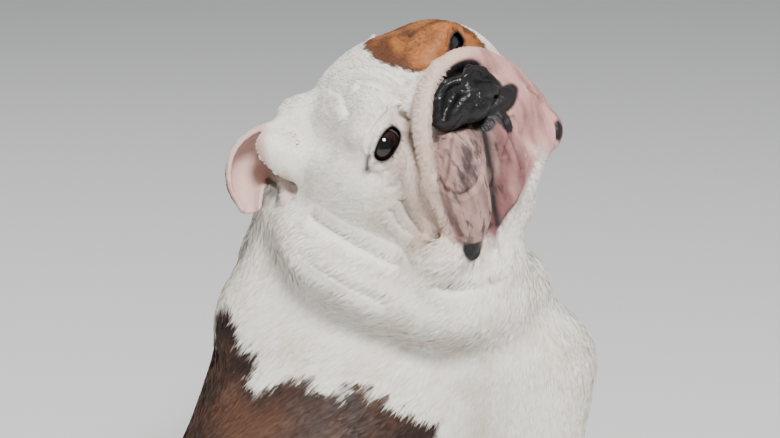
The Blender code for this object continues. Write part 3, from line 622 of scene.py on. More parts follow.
neckCreases = {
    "jaw": ([(66, -30, 352), (76, -54, 340), (90, -76, 326), (112, -104, 316), (140, -126, 314)], 2.6, 3.0),
    "rollOne": ([(52, -34, 332), (62, -60, 318), (78, -84, 304)], 3.0, 2.2),
    "rollTwo": ([(50, -26, 322), (58, -52, 308), (72, -78, 294)], 3.0, 1.8),
}


def creased(points, creases, place):  # each crease is laid on the skin
    local = place.local(points)
    inward = np.zeros(len(points))
    for rows, width, depth in creases.values():
        rows = [local[np.argmin(((local - row) ** 2).sum(axis=1))] for row in rows]
        low = np.min(rows, axis=0) - 12
        high = np.max(rows, axis=0) + 12
        near = np.where(((local > low) & (local < high)).all(axis=1))[0]
        away, _ = lineDistance(local[near], rows)
        inward[near] += depth * np.exp(-(away / width) ** 2)
        inward[near] -= 0.35 * depth * np.exp(-((away - 2.4 * width) / width) ** 2)
    return inward


coatShape = {
    "bodyLength": 9.5,
    "headLength": 5.0,
    "footLength": 5.0,
    "fringe": 0.25,         # longer along the edge of the saddle
    "shorterBare": 0.6,
    "shorterEye": 0.65,
    "shorterEar": 0.7,
    "bodyDepth": 2.4,       # how far the skin lies under the flesh's surface
    "headDepth": 0.9,
    "bareDepth": 0.2,
    "shallower": 0.6,       # on the ears and feet
}

points = readVectors(skin.data.vertices, "co", len(skin.data.vertices)) / mm
normals = readVectors(skin.data.vertex_normals, "vector", len(points))
inHead = head.local(points)
headNormals = normals @ head.axes.T
f, l, u = body.local(points).T
hf, hl, hu = inHead.T


# markings: millimetres inside their edge, or a share from 0 to 1

markings = {
    "saddleAngle": (-100, -61, -48, -26, -8, 7, 33, 60, 100),   # round the trunk, from its right to its left
    "saddleEdge": (124, 116, 85, 54, 39, 45, 64, 96, 110),      # how far forward it reaches
    "saddleMiddle": 150,
    "saddleLow": 66,
    "saddleTop": 330,
    "saddleWaves": ((18, 17), (8, 9)),      # height and length, forward and across
    "patchMiddle": (-17, 40, 4),
    "patchRadii": (46, 35, 46),
    "patchLow": 380,
    "within": 40,
}


def saddleInside():
    angle = np.degrees(np.arctan2(l, u - markings["saddleMiddle"]))
    edge = np.interp(angle, markings["saddleAngle"], markings["saddleEdge"])
    (high, long), (highAcross, longAcross) = markings["saddleWaves"]
    low = markings["saddleLow"] + high * np.sin(f / long) + highAcross * np.sin(l / longAcross)
    low = np.where(f < -30, -40, low)
    inside = np.minimum(edge - f, np.where(np.abs(l) > 60, u - low, markings["within"]))
    return np.where(hf > -90, np.minimum(inside, markings["saddleTop"] - u), inside)


def patchInside():
    ring = np.sqrt((((inHead - markings["patchMiddle"]) / markings["patchRadii"]) ** 2).sum(axis=1))
    return np.where(u > markings["patchLow"], (1 - ring) * markings["within"], -markings["within"])


faceMarks = {
    "middle": (20, 0, -50),
    "reach": 120,
    "padSide": [(47, -13, -36, 10), (44, -26, -52, 15), (38, -37, -70, 15), (32, -47, -84, 11),
                (25, -57, -89, 8)],
    "flewSide": [(30, 20, -30, 24), (26, 44, -60, 20)],
    "chinWhite": [(34, 10, -98, 9), (28, -14, -104, 9), (22, -34, -108, 9)],
    "mouthLine": [(43, -8, -36), (41, -14, -48), (39, -19, -56), (32, -22, -69), (26, -29, -81),
                  (24, -37, -94)],
    "padSpots": [(48, -26, -33), (46, -34, -37), (43, -44, -42)],
    "lobeSpots": [(37, -44, -60), (30, -52, -74)],
    "rollBare": [(29, 8, 7, 7), (31, 22, 2, 8), (29, 36, -13, 10), (23, 47, -38, 11), (14, 56, -66, 11)],
    "tearStain": [(8, -46, -16), (10, -52, -34), (8, -62, -52), (2, -68, -66)],
    "cornerStain": [(12, -30, 0), (16, -40, -16)],
    # earHoleShade: painted shade in the ear's opening, which is not cut into the flap
    "earHoleShade": [(-99, -75, 10, 1), (-94, -79, 7, 3), (-88, -83, 2, 3), (-84, -87, -2, 1.5)],
    "earRidge": [(-67, -77, 14, 1), (-72, -77, 9, 2.5), (-81, -78, 1, 3), (-82, -85, -3, 2.5)],
    "leatherRadii": (20, 27, 18),
    "leatherEdge": (1.0, 1.12),
    "eyeRing": (2.8, 5.0),
    "lid": (1.4, 1.4, 0.7),     # radius, soft edge and strength
}
flewMarks = {"roll": (-0.2, 1.5), "lipRight": (1, 3),      # wider by, and soft edge
             "lipMiddle": 3, "lipLeft": 4, "rightSoft": 3, "leftSoft": 13}
# chinGroove is weak painted shade along the chin's groove; the two lip knots are black skin.
blackRowsAndGrooveShade = {"chinGroove": (0.5, 2.0, 0.2), "lipKnot": (1.2, 1.8, 1.0), "lipKnotLow": (1.2, 1.8, 1.0)}
earSkinMarks = {
    "facing": (0.05, 0.35),     # how far the skin faces the opening
    "inside": (2, 5),
    "outward": (0.57, 0.52, -0.64),
    "rightEnd": (-97, -103),
    "leftEnd": (-80, -90),
    "ridge": (2.5, 0.75),       # soft edge and strength
    # hole: soft edge and strength of the painted shade in the ear's opening
    "hole": (2.0, 0.8),
}
blackSpots = {      # place, radius and soft edge
    "dropTip": ((20, -62, -90), 8.0, 1.5),
    "leftMargin": ((27, 48, -93), 6.0, 3.0),
    "noseLeftRim": ((38, 22, -24), 10, 2),
    "noseBase": ((44, -2, -32), 8.0, 2.5),
}
# The lids, their outer corner and the drop's tail are black skin. The mouth line and the lines along the
# pad, flew and cheek folds are painted shade in the furrow and creases, and the roll line is a painted
# shadow along the roll's edge.
darkLinesAndFoldShade = {       # line, width and strength
    "mouth": (faceMarks["mouthLine"], 3.0, 1.0),
    "outerCorner": ([(4, -60, 2), (-1, -63, -3), (-5, -64, -6)], 2.2, 0.9),
    "lowerLid": ([(2, -61, -5), (6, -54, -11), (8, -45, -15), (10, -36, -14)], 1.6, 0.7),
    "padRim": ([(30, -50, -37), (31, -54, -46), (37, -54, -50), (41, -49, -52), (45, -43, -51)], 1.6, 0.35),
    "padFold": ([(42, -29, -23), (41, -37, -28), (37, -44, -35), (34, -48, -40)], 1.4, 0.45),
    "padFoldTwo": ([(47, -27, -35), (45, -35, -38), (42, -43, -44)], 1.3, 0.4),
    "dropTail": ([(20, -60, -90), (24, -50, -92), (25, -42, -91)], 2.6, 0.9),
    "flewLine": (headCreases["flewFoldLeft"][0], 1.3, 0.30),
    "flewLineTwo": (headCreases["flewFoldLeftTwo"][0], 1.3, 0.22),
    "flewLineThree": (headCreases["flewFoldLeftThree"][0], 1.2, 0.30),
    "cheekLine": (headCreases["cheekFold"][0], 2.0, 0.22),
    "rollLine": ([(34, -28, -10), (32, -42, -26), (27, -54, -46), (22, -61, -66)], 1.8, 0.55),
}
face = np.where(np.linalg.norm(inHead - faceMarks["middle"], axis=1) < faceMarks["reach"])[0]


def nearRope(rows, soft):
    share = np.zeros(len(points))
    away, radius = lineDistance(inHead[face], rows)
    share[face] = 1 - smoothStep(0, soft, away - radius)
    return share


def wider(rows, more):
    return [(*row[:3], row[3] + more) for row in rows]


def drawn(rows, width):  # a soft line laid on the skin of the face
    local = inHead[face]
    rows = [local[np.argmin(((local - row) ** 2).sum(axis=1))] for row in rows]
    share = np.zeros(len(points))
    share[face] = np.exp(-(lineDistance(local, rows)[0] / width) ** 2)
    return share


def flewShares():   # the lip on the right, and the one on the left
    more, soft = flewMarks["roll"]
    onRoll = nearRope(wider(faceRows["rollRight"], more), soft)
    more, soft = flewMarks["lipRight"]
    pad = nearRope(wider(faceRows["lipRight"], more), soft)
    right = np.maximum(pad, nearRope(faceMarks["padSide"], flewMarks["rightSoft"])) * (1 - onRoll)
    lines = [wider(faceRows[name], flewMarks[name]) for name in ("lipMiddle", "lipLeft")]
    lines.append(faceMarks["flewSide"])
    left = np.max([nearRope(rows, flewMarks["leftSoft"]) for rows in lines], axis=0) * (1 - onRoll)
    return right, left * (1 - nearRope(faceMarks["chinWhite"], flewMarks["rightSoft"]))


def bareEar():      # inside the flap, and the ridge beside the ear's hole
    share = np.zeros(len(points))
    for name in ("right", "left"):
        away, radius = lineDistance(inHead, earShape[name])
        facing = smoothStep(*earSkinMarks["facing"], headNormals @ earShape[name + "Opening"])
        share = np.maximum(share, (1 - smoothStep(*earSkinMarks["inside"], away - radius)) * facing)
    right = smoothStep(*earSkinMarks["rightEnd"], inHead @ earSkinMarks["outward"])
    share *= np.where(hl < 0, right, smoothStep(*earSkinMarks["leftEnd"], hf))
    return np.maximum(share, earSkinMarks["ridge"][1] * onRidge)


# black skin of the nose, lips, lids and drop, with painted shade in the folds, the furrows, the chin groove
# and the ear's opening
def blackAndShadeParts():
    parts = [1 - smoothStep(0, soft, np.linalg.norm(inHead - spot, axis=1) - radius)
             for spot, radius, soft in blackSpots.values()]
    lidRadius, soft, strength = faceMarks["lid"]
    for side in (1, -1):
        for lid in (1, -1):
            parts.append(strength * nearRope(lidRows(side, lid, lidRadius), soft))
        away = np.linalg.norm(inHead - eyeMiddle(side), axis=1) - eyeShape["radius"]
        parts.append(1 - smoothStep(*faceMarks["eyeRing"], away))
    for rows, width, strength in darkLinesAndFoldShade.values():
        parts.append(strength * drawn(rows, width))
    for name, (more, soft, strength) in blackRowsAndGrooveShade.items():
        parts.append(strength * nearRope(wider(faceRows[name], more), soft))
    away = np.linalg.norm((inHead - noseShape["place"]) / faceMarks["leatherRadii"], axis=1)
    parts.append(1 - smoothStep(*faceMarks["leatherEdge"], away))
    # painted shade in the ear's opening
    away, radius = lineDistance(inHead, faceMarks["earHoleShade"])
    soft, strength = earSkinMarks["hole"]
    parts.append(strength * (1 - smoothStep(0, soft, away - radius)) * (1 - onRidge))
    return np.max(parts, axis=0)


stainWidths = {"tearStain": 17, "cornerStain": 8}


def stained():      # where tears run down the cheek
    share = np.zeros(len(points))
    for name, width in stainWidths.items():
        away, _ = lineDistance(inHead[face], faceMarks[name])
        share[face] = np.maximum(share[face], np.exp(-(away / width) ** 2))
    return share


saddle = saddleInside()
patch = patchInside()
flewRight, flewLeft = flewShares()
nearMouth = drawn(faceMarks["mouthLine"], 24)
flewSpots = np.maximum(drawn(faceMarks["padSpots"], 7), 0.35 * drawn(faceMarks["lobeSpots"], 6))
rollBare = nearRope(faceMarks["rollBare"], 4)
rollTop = np.maximum(nearRope(wider(faceRows["rollRight"], 1), 3), rollBare)
ridgeAway, ridgeRadius = lineDistance(inHead, faceMarks["earRidge"])
onRidge = 1 - smoothStep(0, earSkinMarks["ridge"][0], ridgeAway - ridgeRadius)
earSkin = bareEar()
# black skin, with painted shade in the folds, furrows, chin groove and the ear's opening
black = blackAndShadeParts()
bare = np.maximum(np.clip(flewRight + flewLeft + 0.8 * rollBare, 0, 1), earSkin)


# the lie of the coat, and how long and dense it is

coatLie = {     # forward, left and up; a pair is where a change starts and ends
    "back": (-0.85, 0.25, -0.50),
    "breast": (-0.08, -0.12, -1.0),
    "leg": (0.15, 0, -1.0),
    "foot": (1.0, 0, -0.3),
    "breastForward": (50, 190),
    "legHeight": (60, 110),
    "headHeight": (330, 385),
    "headForward": (-115, -90),
    "eyeRing": (19, 34),
    "leftSweep": -0.4,      # on its left the hair of the trunk goes the other way across
    "footTop": 26,
    "headBack": -0.9,
    "headAside": (0.45, 45),
    "headDown": (-0.30, -0.5),
    "shortHeadHeight": (325, 365),
    "shortFootHeight": (25, 70),
}
coatSplit = {"legTop": 70, "front": 110, "neckLow": 262, "neckMiddle": -20,     # where one piece ends
             "headLow": 345, "headBehind": -105}


def along(vectors):
    return vectors / np.maximum(np.linalg.norm(vectors, axis=1), 1e-6)[:, None]


def coatDirections():
    front = smoothStep(*coatLie["breastForward"], f)[:, None]
    lying = np.array(coatLie["back"]) * (1 - front) + np.array(coatLie["breast"]) * front
    lying[:, 1] *= np.where(l > 30, coatLie["leftSweep"], 1)
    leg = (1 - smoothStep(*coatLie["legHeight"], u))[:, None]
    lying = lying * (1 - leg) + np.array(coatLie["leg"]) * leg
    foot = ((u < coatLie["footTop"]) & (np.abs(l) > 90))[:, None]
    lying = np.where(foot, np.array(coatLie["foot"]), lying) @ body.axes
    aside = coatLie["headAside"][0] * np.clip(hl / coatLie["headAside"][1], -1, 1)
    down = coatLie["headDown"][0] + coatLie["headDown"][1] * smoothStep(-10, -60, hu)
    onHead = np.stack([np.full(len(hl), coatLie["headBack"]), aside, down], axis=1) @ head.axes
    share = smoothStep(*coatLie["headHeight"], u) * smoothStep(*coatLie["headForward"], hf)
    lying = lying * (1 - share[:, None]) + onHead * share[:, None]
    nearEye = np.zeros(len(points))
    for side in (1, -1):    # away from each eye
        fromEye = inHead - eyeMiddle(side)
        share = 1 - smoothStep(*coatLie["eyeRing"], np.linalg.norm(fromEye, axis=1))
        nearEye = np.maximum(nearEye, share)
        lying = lying * (1 - share)[:, None] + 1.2 * along(fromEye @ head.axes) * share[:, None]
    return along(lying - (lying * normals).sum(axis=1)[:, None] * normals), nearEye


def earShare():
    share = np.zeros(len(points))
    for name in ("right", "left"):
        away, radius = lineDistance(inHead, earShape[name][1:])
        share = np.maximum(share, 1 - smoothStep(3, 9, np.abs(away - radius)))
    return share


lie, nearEye = coatDirections()
headShare = smoothStep(*coatLie["shortHeadHeight"], u)
footShare = 1 - smoothStep(*coatLie["shortFootHeight"], u)
onEar = earShare()
length = coatShape["bodyLength"] * (1 - headShare) + coatShape["headLength"] * headShare
length = length * (1 - footShare) + coatShape["footLength"] * footShare
length *= 1 + coatShape["fringe"] * np.exp(-(saddle / 10) ** 2)
for name, share in (("shorterBare", bare), ("shorterEye", nearEye), ("shorterEar", onEar)):
    length *= 1 - coatShape[name] * share
density = (1 - bare) * (1 - smoothStep(0.2, 0.8, black)) * (u > 1.5) * (1 + 0.6 * headShare)
depth = coatShape["bodyDepth"] * (1 - headShare) + coatShape["headDepth"] * headShare
depth = depth * (1 - np.maximum(bare, black)) + coatShape["bareDepth"] * np.maximum(bare, black)
depth *= (1 - coatShape["shallower"] * onEar) * (1 - coatShape["shallower"] * footShare)
inward = creased(points, headCreases, head) + creased(points, neckCreases, body)
skinPoints = points - normals * (depth + inward)[:, None]
skinPoints[:, 2] = np.maximum(skinPoints[:, 2], 0)
skin.data.vertices.foreach_set("co", (skinPoints * mm).astype(np.float32).ravel())
skin.data.update()

isRight, isFront = l < 0, f > coatSplit["front"]
region = np.where(isRight, np.where(isFront, 4, 6), np.where(isFront, 5, 7))
region = np.where(u < coatSplit["legTop"], np.where(isFront, 8, 9), region)
region = np.where(u > coatSplit["neckLow"], np.where(l < coatSplit["neckMiddle"], 2, 3), region)
onHead = (u > coatSplit["headLow"]) & (hf > coatSplit["headBehind"])
region = np.where(onHead, np.where(hl < 0, 0, 1), region)


def keep(name, values, kind="FLOAT"):
    made = skin.data.attributes.new(name, kind, "POINT")
    values = np.ascontiguousarray(values, np.float32).ravel()
    made.data.foreach_set("vector" if kind == "FLOAT_VECTOR" else "value", values)


kept = {
    "saddle": saddle, "eyePatch": patch,
    "flewGrey": flewRight, "flewPink": np.clip(flewLeft + 0.45 * rollBare, 0, 1),
    "rollTint": rollTop, "nearMouth": nearMouth, "flewSpots": flewSpots,
    "earSkin": earSkin, "blackSkin": black, "stain": stained(),
    "coatLength": length * mm, "coatDensity": density, "coatRegion": region,
}
for name, values in kept.items():
    keep(name, values)
keep("lie", lie, "FLOAT_VECTOR")
keep("rootPlace", skinPoints * mm, "FLOAT_VECTOR")
streaks = np.stack([hl - 0.35 * hu, 0.28 * hu, 0.6 * hf], axis=1)
keep("flewPlace", streaks * mm, "FLOAT_VECTOR")
print("markings made")


def unwrapSkin():  # places on this unwrap give each tuft its own small patch
    bpy.context.view_layer.objects.active = skin
    skin.select_set(True)
    skin.data.uv_layers.new(name="skinUnwrap")
    bpy.ops.object.mode_set(mode="EDIT")
    bpy.ops.mesh.select_all(action="SELECT")
    bpy.ops.uv.smart_project(angle_limit=math.radians(66), island_margin=0.001, scale_to_bounds=False)
    bpy.ops.object.mode_set(mode="OBJECT")
    skin.select_set(False)


unwrapSkin()
print("skin unwrapped")


# nodes, added by kind with their inputs by name

class Nodes:
    def __init__(self, tree):
        self.tree = tree

    def plug(self, socket, value):
        if isinstance(value, bpy.types.NodeSocket):
            self.tree.links.new(value, socket)
        elif socket.type == "RGBA":
            socket.default_value = (*value, 1)
        else:
            socket.default_value = value

    def give(self, node, **values):
        for name, value in values.items():
            name = name.replace("_", " ")
            self.plug(next(item for item in node.inputs if item.name == name and item.enabled), value)
        return node

    def add(self, kind, settings=None, **values):
        node = self.tree.nodes.new(kind)
        for name, value in (settings or {}).items():
            setattr(node, name, value)
        return self.give(node, **values)

    def out(self, kind, settings=None, **values):
        return next(item for item in self.add(kind, settings, **values).outputs if item.enabled)

    def maths(self, operation, a, b, kind="ShaderNodeMath"):
        node = self.add(kind, {"operation": operation})
        self.plug(node.inputs[0], a)
        self.plug(node.inputs[1], b)
        return next(item for item in node.outputs if item.enabled)

    def vectors(self, operation, a, b):
        return self.maths(operation, a, b, "ShaderNodeVectorMath")

    def times(self, a, b):
        return self.maths("MULTIPLY", a, b)

    def plus(self, a, b):
        return self.maths("ADD", a, b)

    def swing(self, value, width):  # a texture's value as a change to either side of nothing
        return self.times(self.maths("SUBTRACT", value, 0.5), width)

    def attribute(self, name, output="Fac"):
        return self.add("ShaderNodeAttribute", {"attribute_name": name}).outputs[output]

    def objectPlace(self):
        return self.add("ShaderNodeTexCoord").outputs["Object"]

    def between(self, value, low, high):  # 0 below low, 1 above high, soft between
        return self.out("ShaderNodeMapRange", {"interpolation_type": "SMOOTHSTEP"}, Value=value,
                        From_Min=low, From_Max=high)

    def noise(self, vector, scale, detail, roughness):
        return self.out("ShaderNodeTexNoise", Vector=vector, Scale=scale, Detail=detail, Roughness=roughness)

    def bump(self, height, strength, distance, **values):
        return self.out("ShaderNodeBump", Height=height, Strength=strength, Distance=distance, **values)

    def mix(self, share, first, second, blend="MIX"):
        settings = {"data_type": "RGBA", "blend_type": blend}
        return self.out("ShaderNodeMix", settings, Factor=share, A=first, B=second)

    def named(self, name, kind="FLOAT"):
        return self.out("GeometryNodeInputNamedAttribute", {"data_type": kind}, Name=name)

    def random(self, low, high, seed):
        return self.out("FunctionNodeRandomValue", {"data_type": "FLOAT"}, Min=low, Max=high, Seed=seed)


# materials

def newMaterial(name):
    material = bpy.data.materials.new(name)
    material.use_nodes = True
    return material, Nodes(material.node_tree), material.node_tree.nodes["Principled BSDF"]


def plainMaterial(name, colour, roughness):
    material, nodes, shader = newMaterial(name)
    nodes.give(shader, Base_Color=colour, Roughness=roughness)
    return material


coatColours = {
    "white": (0.87, 0.825, 0.75), "cream": (0.76, 0.68, 0.58),
    "darkBrown": (0.026, 0.012, 0.008), "redBrown": (0.098, 0.040, 0.020),
    "orange": (0.38, 0.135, 0.036), "umber": (0.11, 0.038, 0.013),
    "stain": (0.44, 0.30, 0.23), "rollTint": (0.56, 0.385, 0.30),
    "greyFlew": (0.22, 0.128, 0.114), "paleFlew": (0.41, 0.25, 0.215), "mottle": (0.045, 0.032, 0.032),
    "pinkFlew": (0.56, 0.295, 0.265), "pinkDeep": (0.20, 0.085, 0.080), "earPink": (0.60, 0.35, 0.31),
    "black": (0.012, 0.010, 0.011),
}
coatNoise = {       # scale, detail and roughness
    "coarse": (45, 3, 0.5), "fine": (160, 3, 0.6), "brown": (11, 4, 0.6), "pink": (75, 3, 0.5),
    "freckles": (150, 3, 0.6), "spots": (190, 3, 0.55), "grey": (60, 2, 0.5), "pores": (420, 4, 0.6),
    "wrinkles": (260, 3, 0.55),
}
coatEdges = {       # where each colour starts and where it is full
    "cream": (0.42, 0.75), "saddle": (-2.0, 3.0), "redBrown": (0.44, 0.62),
    "patch": (-1.0, 2.0), "patchInside": (1.0, 9.0), "orange": (0.40, 0.62),
    "pinkDeep": (0.38, 0.86), "freckles": (0.56, 0.70), "spots": (0.54, 0.67), "paleFlew": (0.40, 0.62),
}
coatShares = {"stain": 0.9, "rollTint": 0.7, "earSkin": 0.85, "spots": 0.85, "spotsMore": 0.10,
              "nearMouth": 0.42, "wave": 34, "ripple": 22, "patchRipple": 0.5}


def paintCoat(nodes):
    colours, share = coatColours, coatShares

    def noise(place, name):
        return nodes.noise(place, *coatNoise[name])

    def edge(value, name):
        return nodes.between(value, *coatEdges[name])

    def partly(name):
        return nodes.times(nodes.attribute(name), share[name])

    place = nodes.attribute("rootPlace", "Vector")
    coarse = noise(place, "coarse")
    ripple = nodes.swing(noise(place, "fine"), share["ripple"])
    colour = nodes.mix(edge(coarse, "cream"), colours["white"], colours["cream"])
    colour = nodes.mix(partly("stain"), colour, colours["stain"])
    colour = nodes.mix(partly("rollTint"), colour, colours["rollTint"])
    saddle = nodes.plus(nodes.plus(nodes.attribute("saddle"), nodes.swing(coarse, share["wave"])), ripple)
    brown = nodes.mix(edge(noise(place, "brown"), "redBrown"), colours["darkBrown"], colours["redBrown"])
    colour = nodes.mix(edge(saddle, "saddle"), colour, brown)
    patch = nodes.plus(nodes.attribute("eyePatch"), nodes.times(ripple, share["patchRipple"]))
    orange = nodes.mix(edge(coarse, "orange"), colours["umber"], colours["orange"])
    orange = nodes.mix(edge(patch, "patchInside"), colours["umber"], orange)
    colour = nodes.mix(edge(patch, "patch"), colour, orange)
    streaks = nodes.attribute("flewPlace", "Vector")
    deep = nodes.plus(noise(streaks, "pink"), partly("nearMouth"))
    pink = nodes.mix(edge(deep, "pinkDeep"), colours["pinkFlew"], colours["pinkDeep"])
    freckles = nodes.times(edge(noise(streaks, "freckles"), "freckles"), nodes.attribute("nearMouth"))
    pink = nodes.mix(freckles, pink, colours["mottle"])
    colour = nodes.mix(nodes.attribute("flewPink"), colour, pink)
    more = nodes.times(nodes.attribute("flewSpots"), share["spotsMore"])
    spots = edge(nodes.plus(noise(streaks, "spots"), more), "spots")
    grey = nodes.mix(edge(noise(streaks, "grey"), "paleFlew"), colours["greyFlew"], colours["paleFlew"])
    grey = nodes.mix(nodes.times(spots, share["spots"]), grey, colours["mottle"])
    colour = nodes.mix(nodes.attribute("flewGrey"), colour, grey)
    colour = nodes.mix(partly("earSkin"), colour, colours["earPink"])
    # black skin, and painted shade in the folds, furrows, chin groove and the ear's opening
    return nodes.mix(nodes.attribute("blackSkin"), colour, colours["black"])


skinLook = {"roughness": 0.60, "blackShine": 0.12, "specular": 0.28, "poreBump": (0.35, 0.0012),
            "wrinkleStrength": 0.7, "wrinkleDepth": 0.002}
hairLook = {"roughness": 0.55, "specular": 0.35, "dark": (0.80, 0.77, 0.74), "full": (1.0, 1.0, 1.0),
            "tintEdges": (-0.6, 1.3)}


def makeSkinMaterial():
    material, nodes, shader = newMaterial("skin under the coat")
    pores = nodes.noise(nodes.attribute("rootPlace", "Vector"), *coatNoise["pores"])
    pores = nodes.bump(pores, *skinLook["poreBump"])
    onLips = nodes.plus(nodes.attribute("flewGrey"), nodes.attribute("flewPink"))
    wrinkles = nodes.noise(nodes.attribute("flewPlace", "Vector"), *coatNoise["wrinkles"])
    strength = nodes.times(onLips, skinLook["wrinkleStrength"])
    wrinkles = nodes.bump(wrinkles, strength, skinLook["wrinkleDepth"], Normal=pores)
    shine = nodes.times(nodes.attribute("blackSkin"), skinLook["blackShine"])
    nodes.give(shader, Base_Color=paintCoat(nodes), Normal=wrinkles, Specular_IOR_Level=skinLook["specular"],
               Roughness=nodes.maths("SUBTRACT", skinLook["roughness"], shine))
    return material


def makeCoatMaterial():
    material, nodes, shader = newMaterial("short coat")
    tint = nodes.between(nodes.attribute("hairTint"), *hairLook["tintEdges"])
    tint = nodes.mix(tint, hairLook["dark"], hairLook["full"])
    colour = nodes.mix(1.0, paintCoat(nodes), tint, "MULTIPLY")
    nodes.give(shader, Base_Color=colour, Roughness=hairLook["roughness"],
               Specular_IOR_Level=hairLook["specular"])
    return material


skin.data.materials.clear()
skin.data.materials.append(makeSkinMaterial())
coatMaterial = makeCoatMaterial()
print("coat painted")


# the coat: short tufts that lie along the body, in ten pieces

coatTufts = {
    "perSquareMetre": 430000, "quickPerSquareMetre": 130000, "firstSeed": 40,
    "width": 0.8, "quickWidth": 1.4,       # of one blade, at its widest
    "lift": 3.8, "liftSpread": 3.0, "turnSpread": 12.0,
    "blades": ((0.0, 0.0, 1.0), (1.1, 8.0, 0.8)),   # beside the root, turned by, length
    "arch": 0.10,
    "patch": 0.003,     # of the unwrap, for each tuft
}
coatPieces = ["coatHeadRight", "coatHeadLeft", "coatNeckRight", "coatNeckLeft", "coatFrontRight",
              "coatFrontLeft", "coatRearRight", "coatRearLeft", "coatForelegs", "coatHindlegs"]


def makeTuft():
    shape = bmesh.new()
    patch = shape.loops.layers.uv.new("tuftPatch")
    for beside, turn, reach in coatTufts["blades"]:
        turned = Matrix.Rotation(math.radians(turn), 3, "Z")
        rows = []
        for along, half in ((0.0, 0.32), (0.5, 0.5), (1.0, 0.0)):
            height = coatTufts["arch"] * (along - along * along)
            place = turned @ Vector((along * reach, 0, height)) + Vector((0, beside, 0))
            sides = (-half, half) if half else (0,)
            rows.append([shape.verts.new(place + Vector((0, side, 0))) for side in sides])
        root, middle, tip = rows
        shape.faces.new((root[0], middle[0], middle[1], root[1]))
        shape.faces.new((middle[0], tip[0], middle[1]))
    for face in shape.faces:
        face.smooth = True
        for loop in face.loops:
            loop[patch].uv = (loop.vert.co.x, 0.5 + 0.2 * loop.vert.co.y)
    return meshFromShape("tuft", shape)


coatInputs = {"Geometry": "Geometry", "Tuft": "Object", "Tufts per square metre": "Float",
              "Blade width": "Float", "Lift": "Float", "Lift spread": "Float", "Turn spread": "Float",
              "Piece": "Float", "Seed": "Int", "Coat": "Material"}
tuftChange = {      # from and to, and the seed
    "tint": (0.0, 1.0, 5), "lift": (-1.0, 1.0, 11), "turn": (-1.0, 1.0, 17), "roll": (-0.25, 0.25, 23),
    "length": (0.65, 1.15, 29), "width": (0.7, 1.2, 31),
}


def makeCoatTree():
    tree = bpy.data.node_groups.new("short coat", "GeometryNodeTree")
    for name, kind in coatInputs.items():
        tree.interface.new_socket(name, in_out="INPUT", socket_type="NodeSocket" + kind)
    tree.interface.new_socket("Geometry", in_out="OUTPUT", socket_type="NodeSocketGeometry")
    nodes = Nodes(tree)
    given = tree.nodes.new("NodeGroupInput").outputs
    change = {name: nodes.random(*values) for name, values in tuftChange.items()}
    away = nodes.maths("ABSOLUTE", nodes.maths("SUBTRACT", nodes.named("coatRegion"), given["Piece"]), 0)
    share = nodes.times(nodes.named("coatDensity"), nodes.maths("LESS_THAN", away, 0.5))
    points = nodes.add("GeometryNodeDistributePointsOnFaces", {"distribute_method": "RANDOM"},
                       Mesh=given["Geometry"], Seed=given["Seed"],
                       Density=nodes.times(share, given["Tufts per square metre"]))
    tinted = nodes.out("GeometryNodeStoreNamedAttribute", {"data_type": "FLOAT", "domain": "POINT"},
                       Geometry=points.outputs["Points"], Name="hairTint", Value=change["tint"])
    lying = nodes.out("FunctionNodeAxesToRotation", {"primary_axis": "X", "secondary_axis": "Z"},
                      Primary_Axis=nodes.named("lie", "FLOAT_VECTOR"),
                      Secondary_Axis=points.outputs["Normal"])
    lift = nodes.plus(given["Lift"], nodes.times(change["lift"], given["Lift spread"]))
    bent = nodes.out("ShaderNodeCombineXYZ", X=change["roll"], Y=nodes.times(lift, -1.0),
                     Z=nodes.times(change["turn"], given["Turn spread"]))
    lying = nodes.out("FunctionNodeRotateRotation", {"rotation_space": "LOCAL"}, Rotation=lying,
                      Rotate_By=bent)
    length = nodes.times(nodes.named("coatLength"), change["length"])
    scale = nodes.out("ShaderNodeCombineXYZ", X=length, Y=nodes.times(given["Blade width"], change["width"]),
                      Z=length)
    tuft = nodes.add("GeometryNodeObjectInfo", {"transform_space": "ORIGINAL"}, Object=given["Tuft"])
    coat = nodes.out("GeometryNodeInstanceOnPoints", Points=tinted, Instance=tuft.outputs["Geometry"],
                     Rotation=lying, Scale=scale)
    coat = nodes.out("GeometryNodeRealizeInstances", Geometry=coat)
    patch = nodes.vectors("SUBTRACT", nodes.named("tuftPatch", "FLOAT_VECTOR"), (0.5, 0.5, 0))
    patch = nodes.vectors("MULTIPLY", patch, [coatTufts["patch"]] * 3)
    patch = nodes.vectors("ADD", patch, nodes.named("skinUnwrap", "FLOAT_VECTOR"))
    coat = nodes.out("GeometryNodeStoreNamedAttribute", {"data_type": "FLOAT2", "domain": "CORNER"},
                     Geometry=coat, Name="OFBake", Value=patch)
    for name in ("tuftPatch", "skinUnwrap", "lie", "coatLength", "coatDensity", "coatRegion"):
        coat = nodes.out("GeometryNodeRemoveAttribute", Geometry=coat, Name=name)
    coat = nodes.out("GeometryNodeSetMaterial", Geometry=coat, Material=given["Coat"])
    tree.links.new(coat, tree.nodes.new("NodeGroupOutput").inputs["Geometry"])
    return tree


coatTree = makeCoatTree()
tuft = makeTuft()
socketOf = {item.name: item.identifier for item in coatTree.interface.items_tree if item.in_out == "INPUT"}


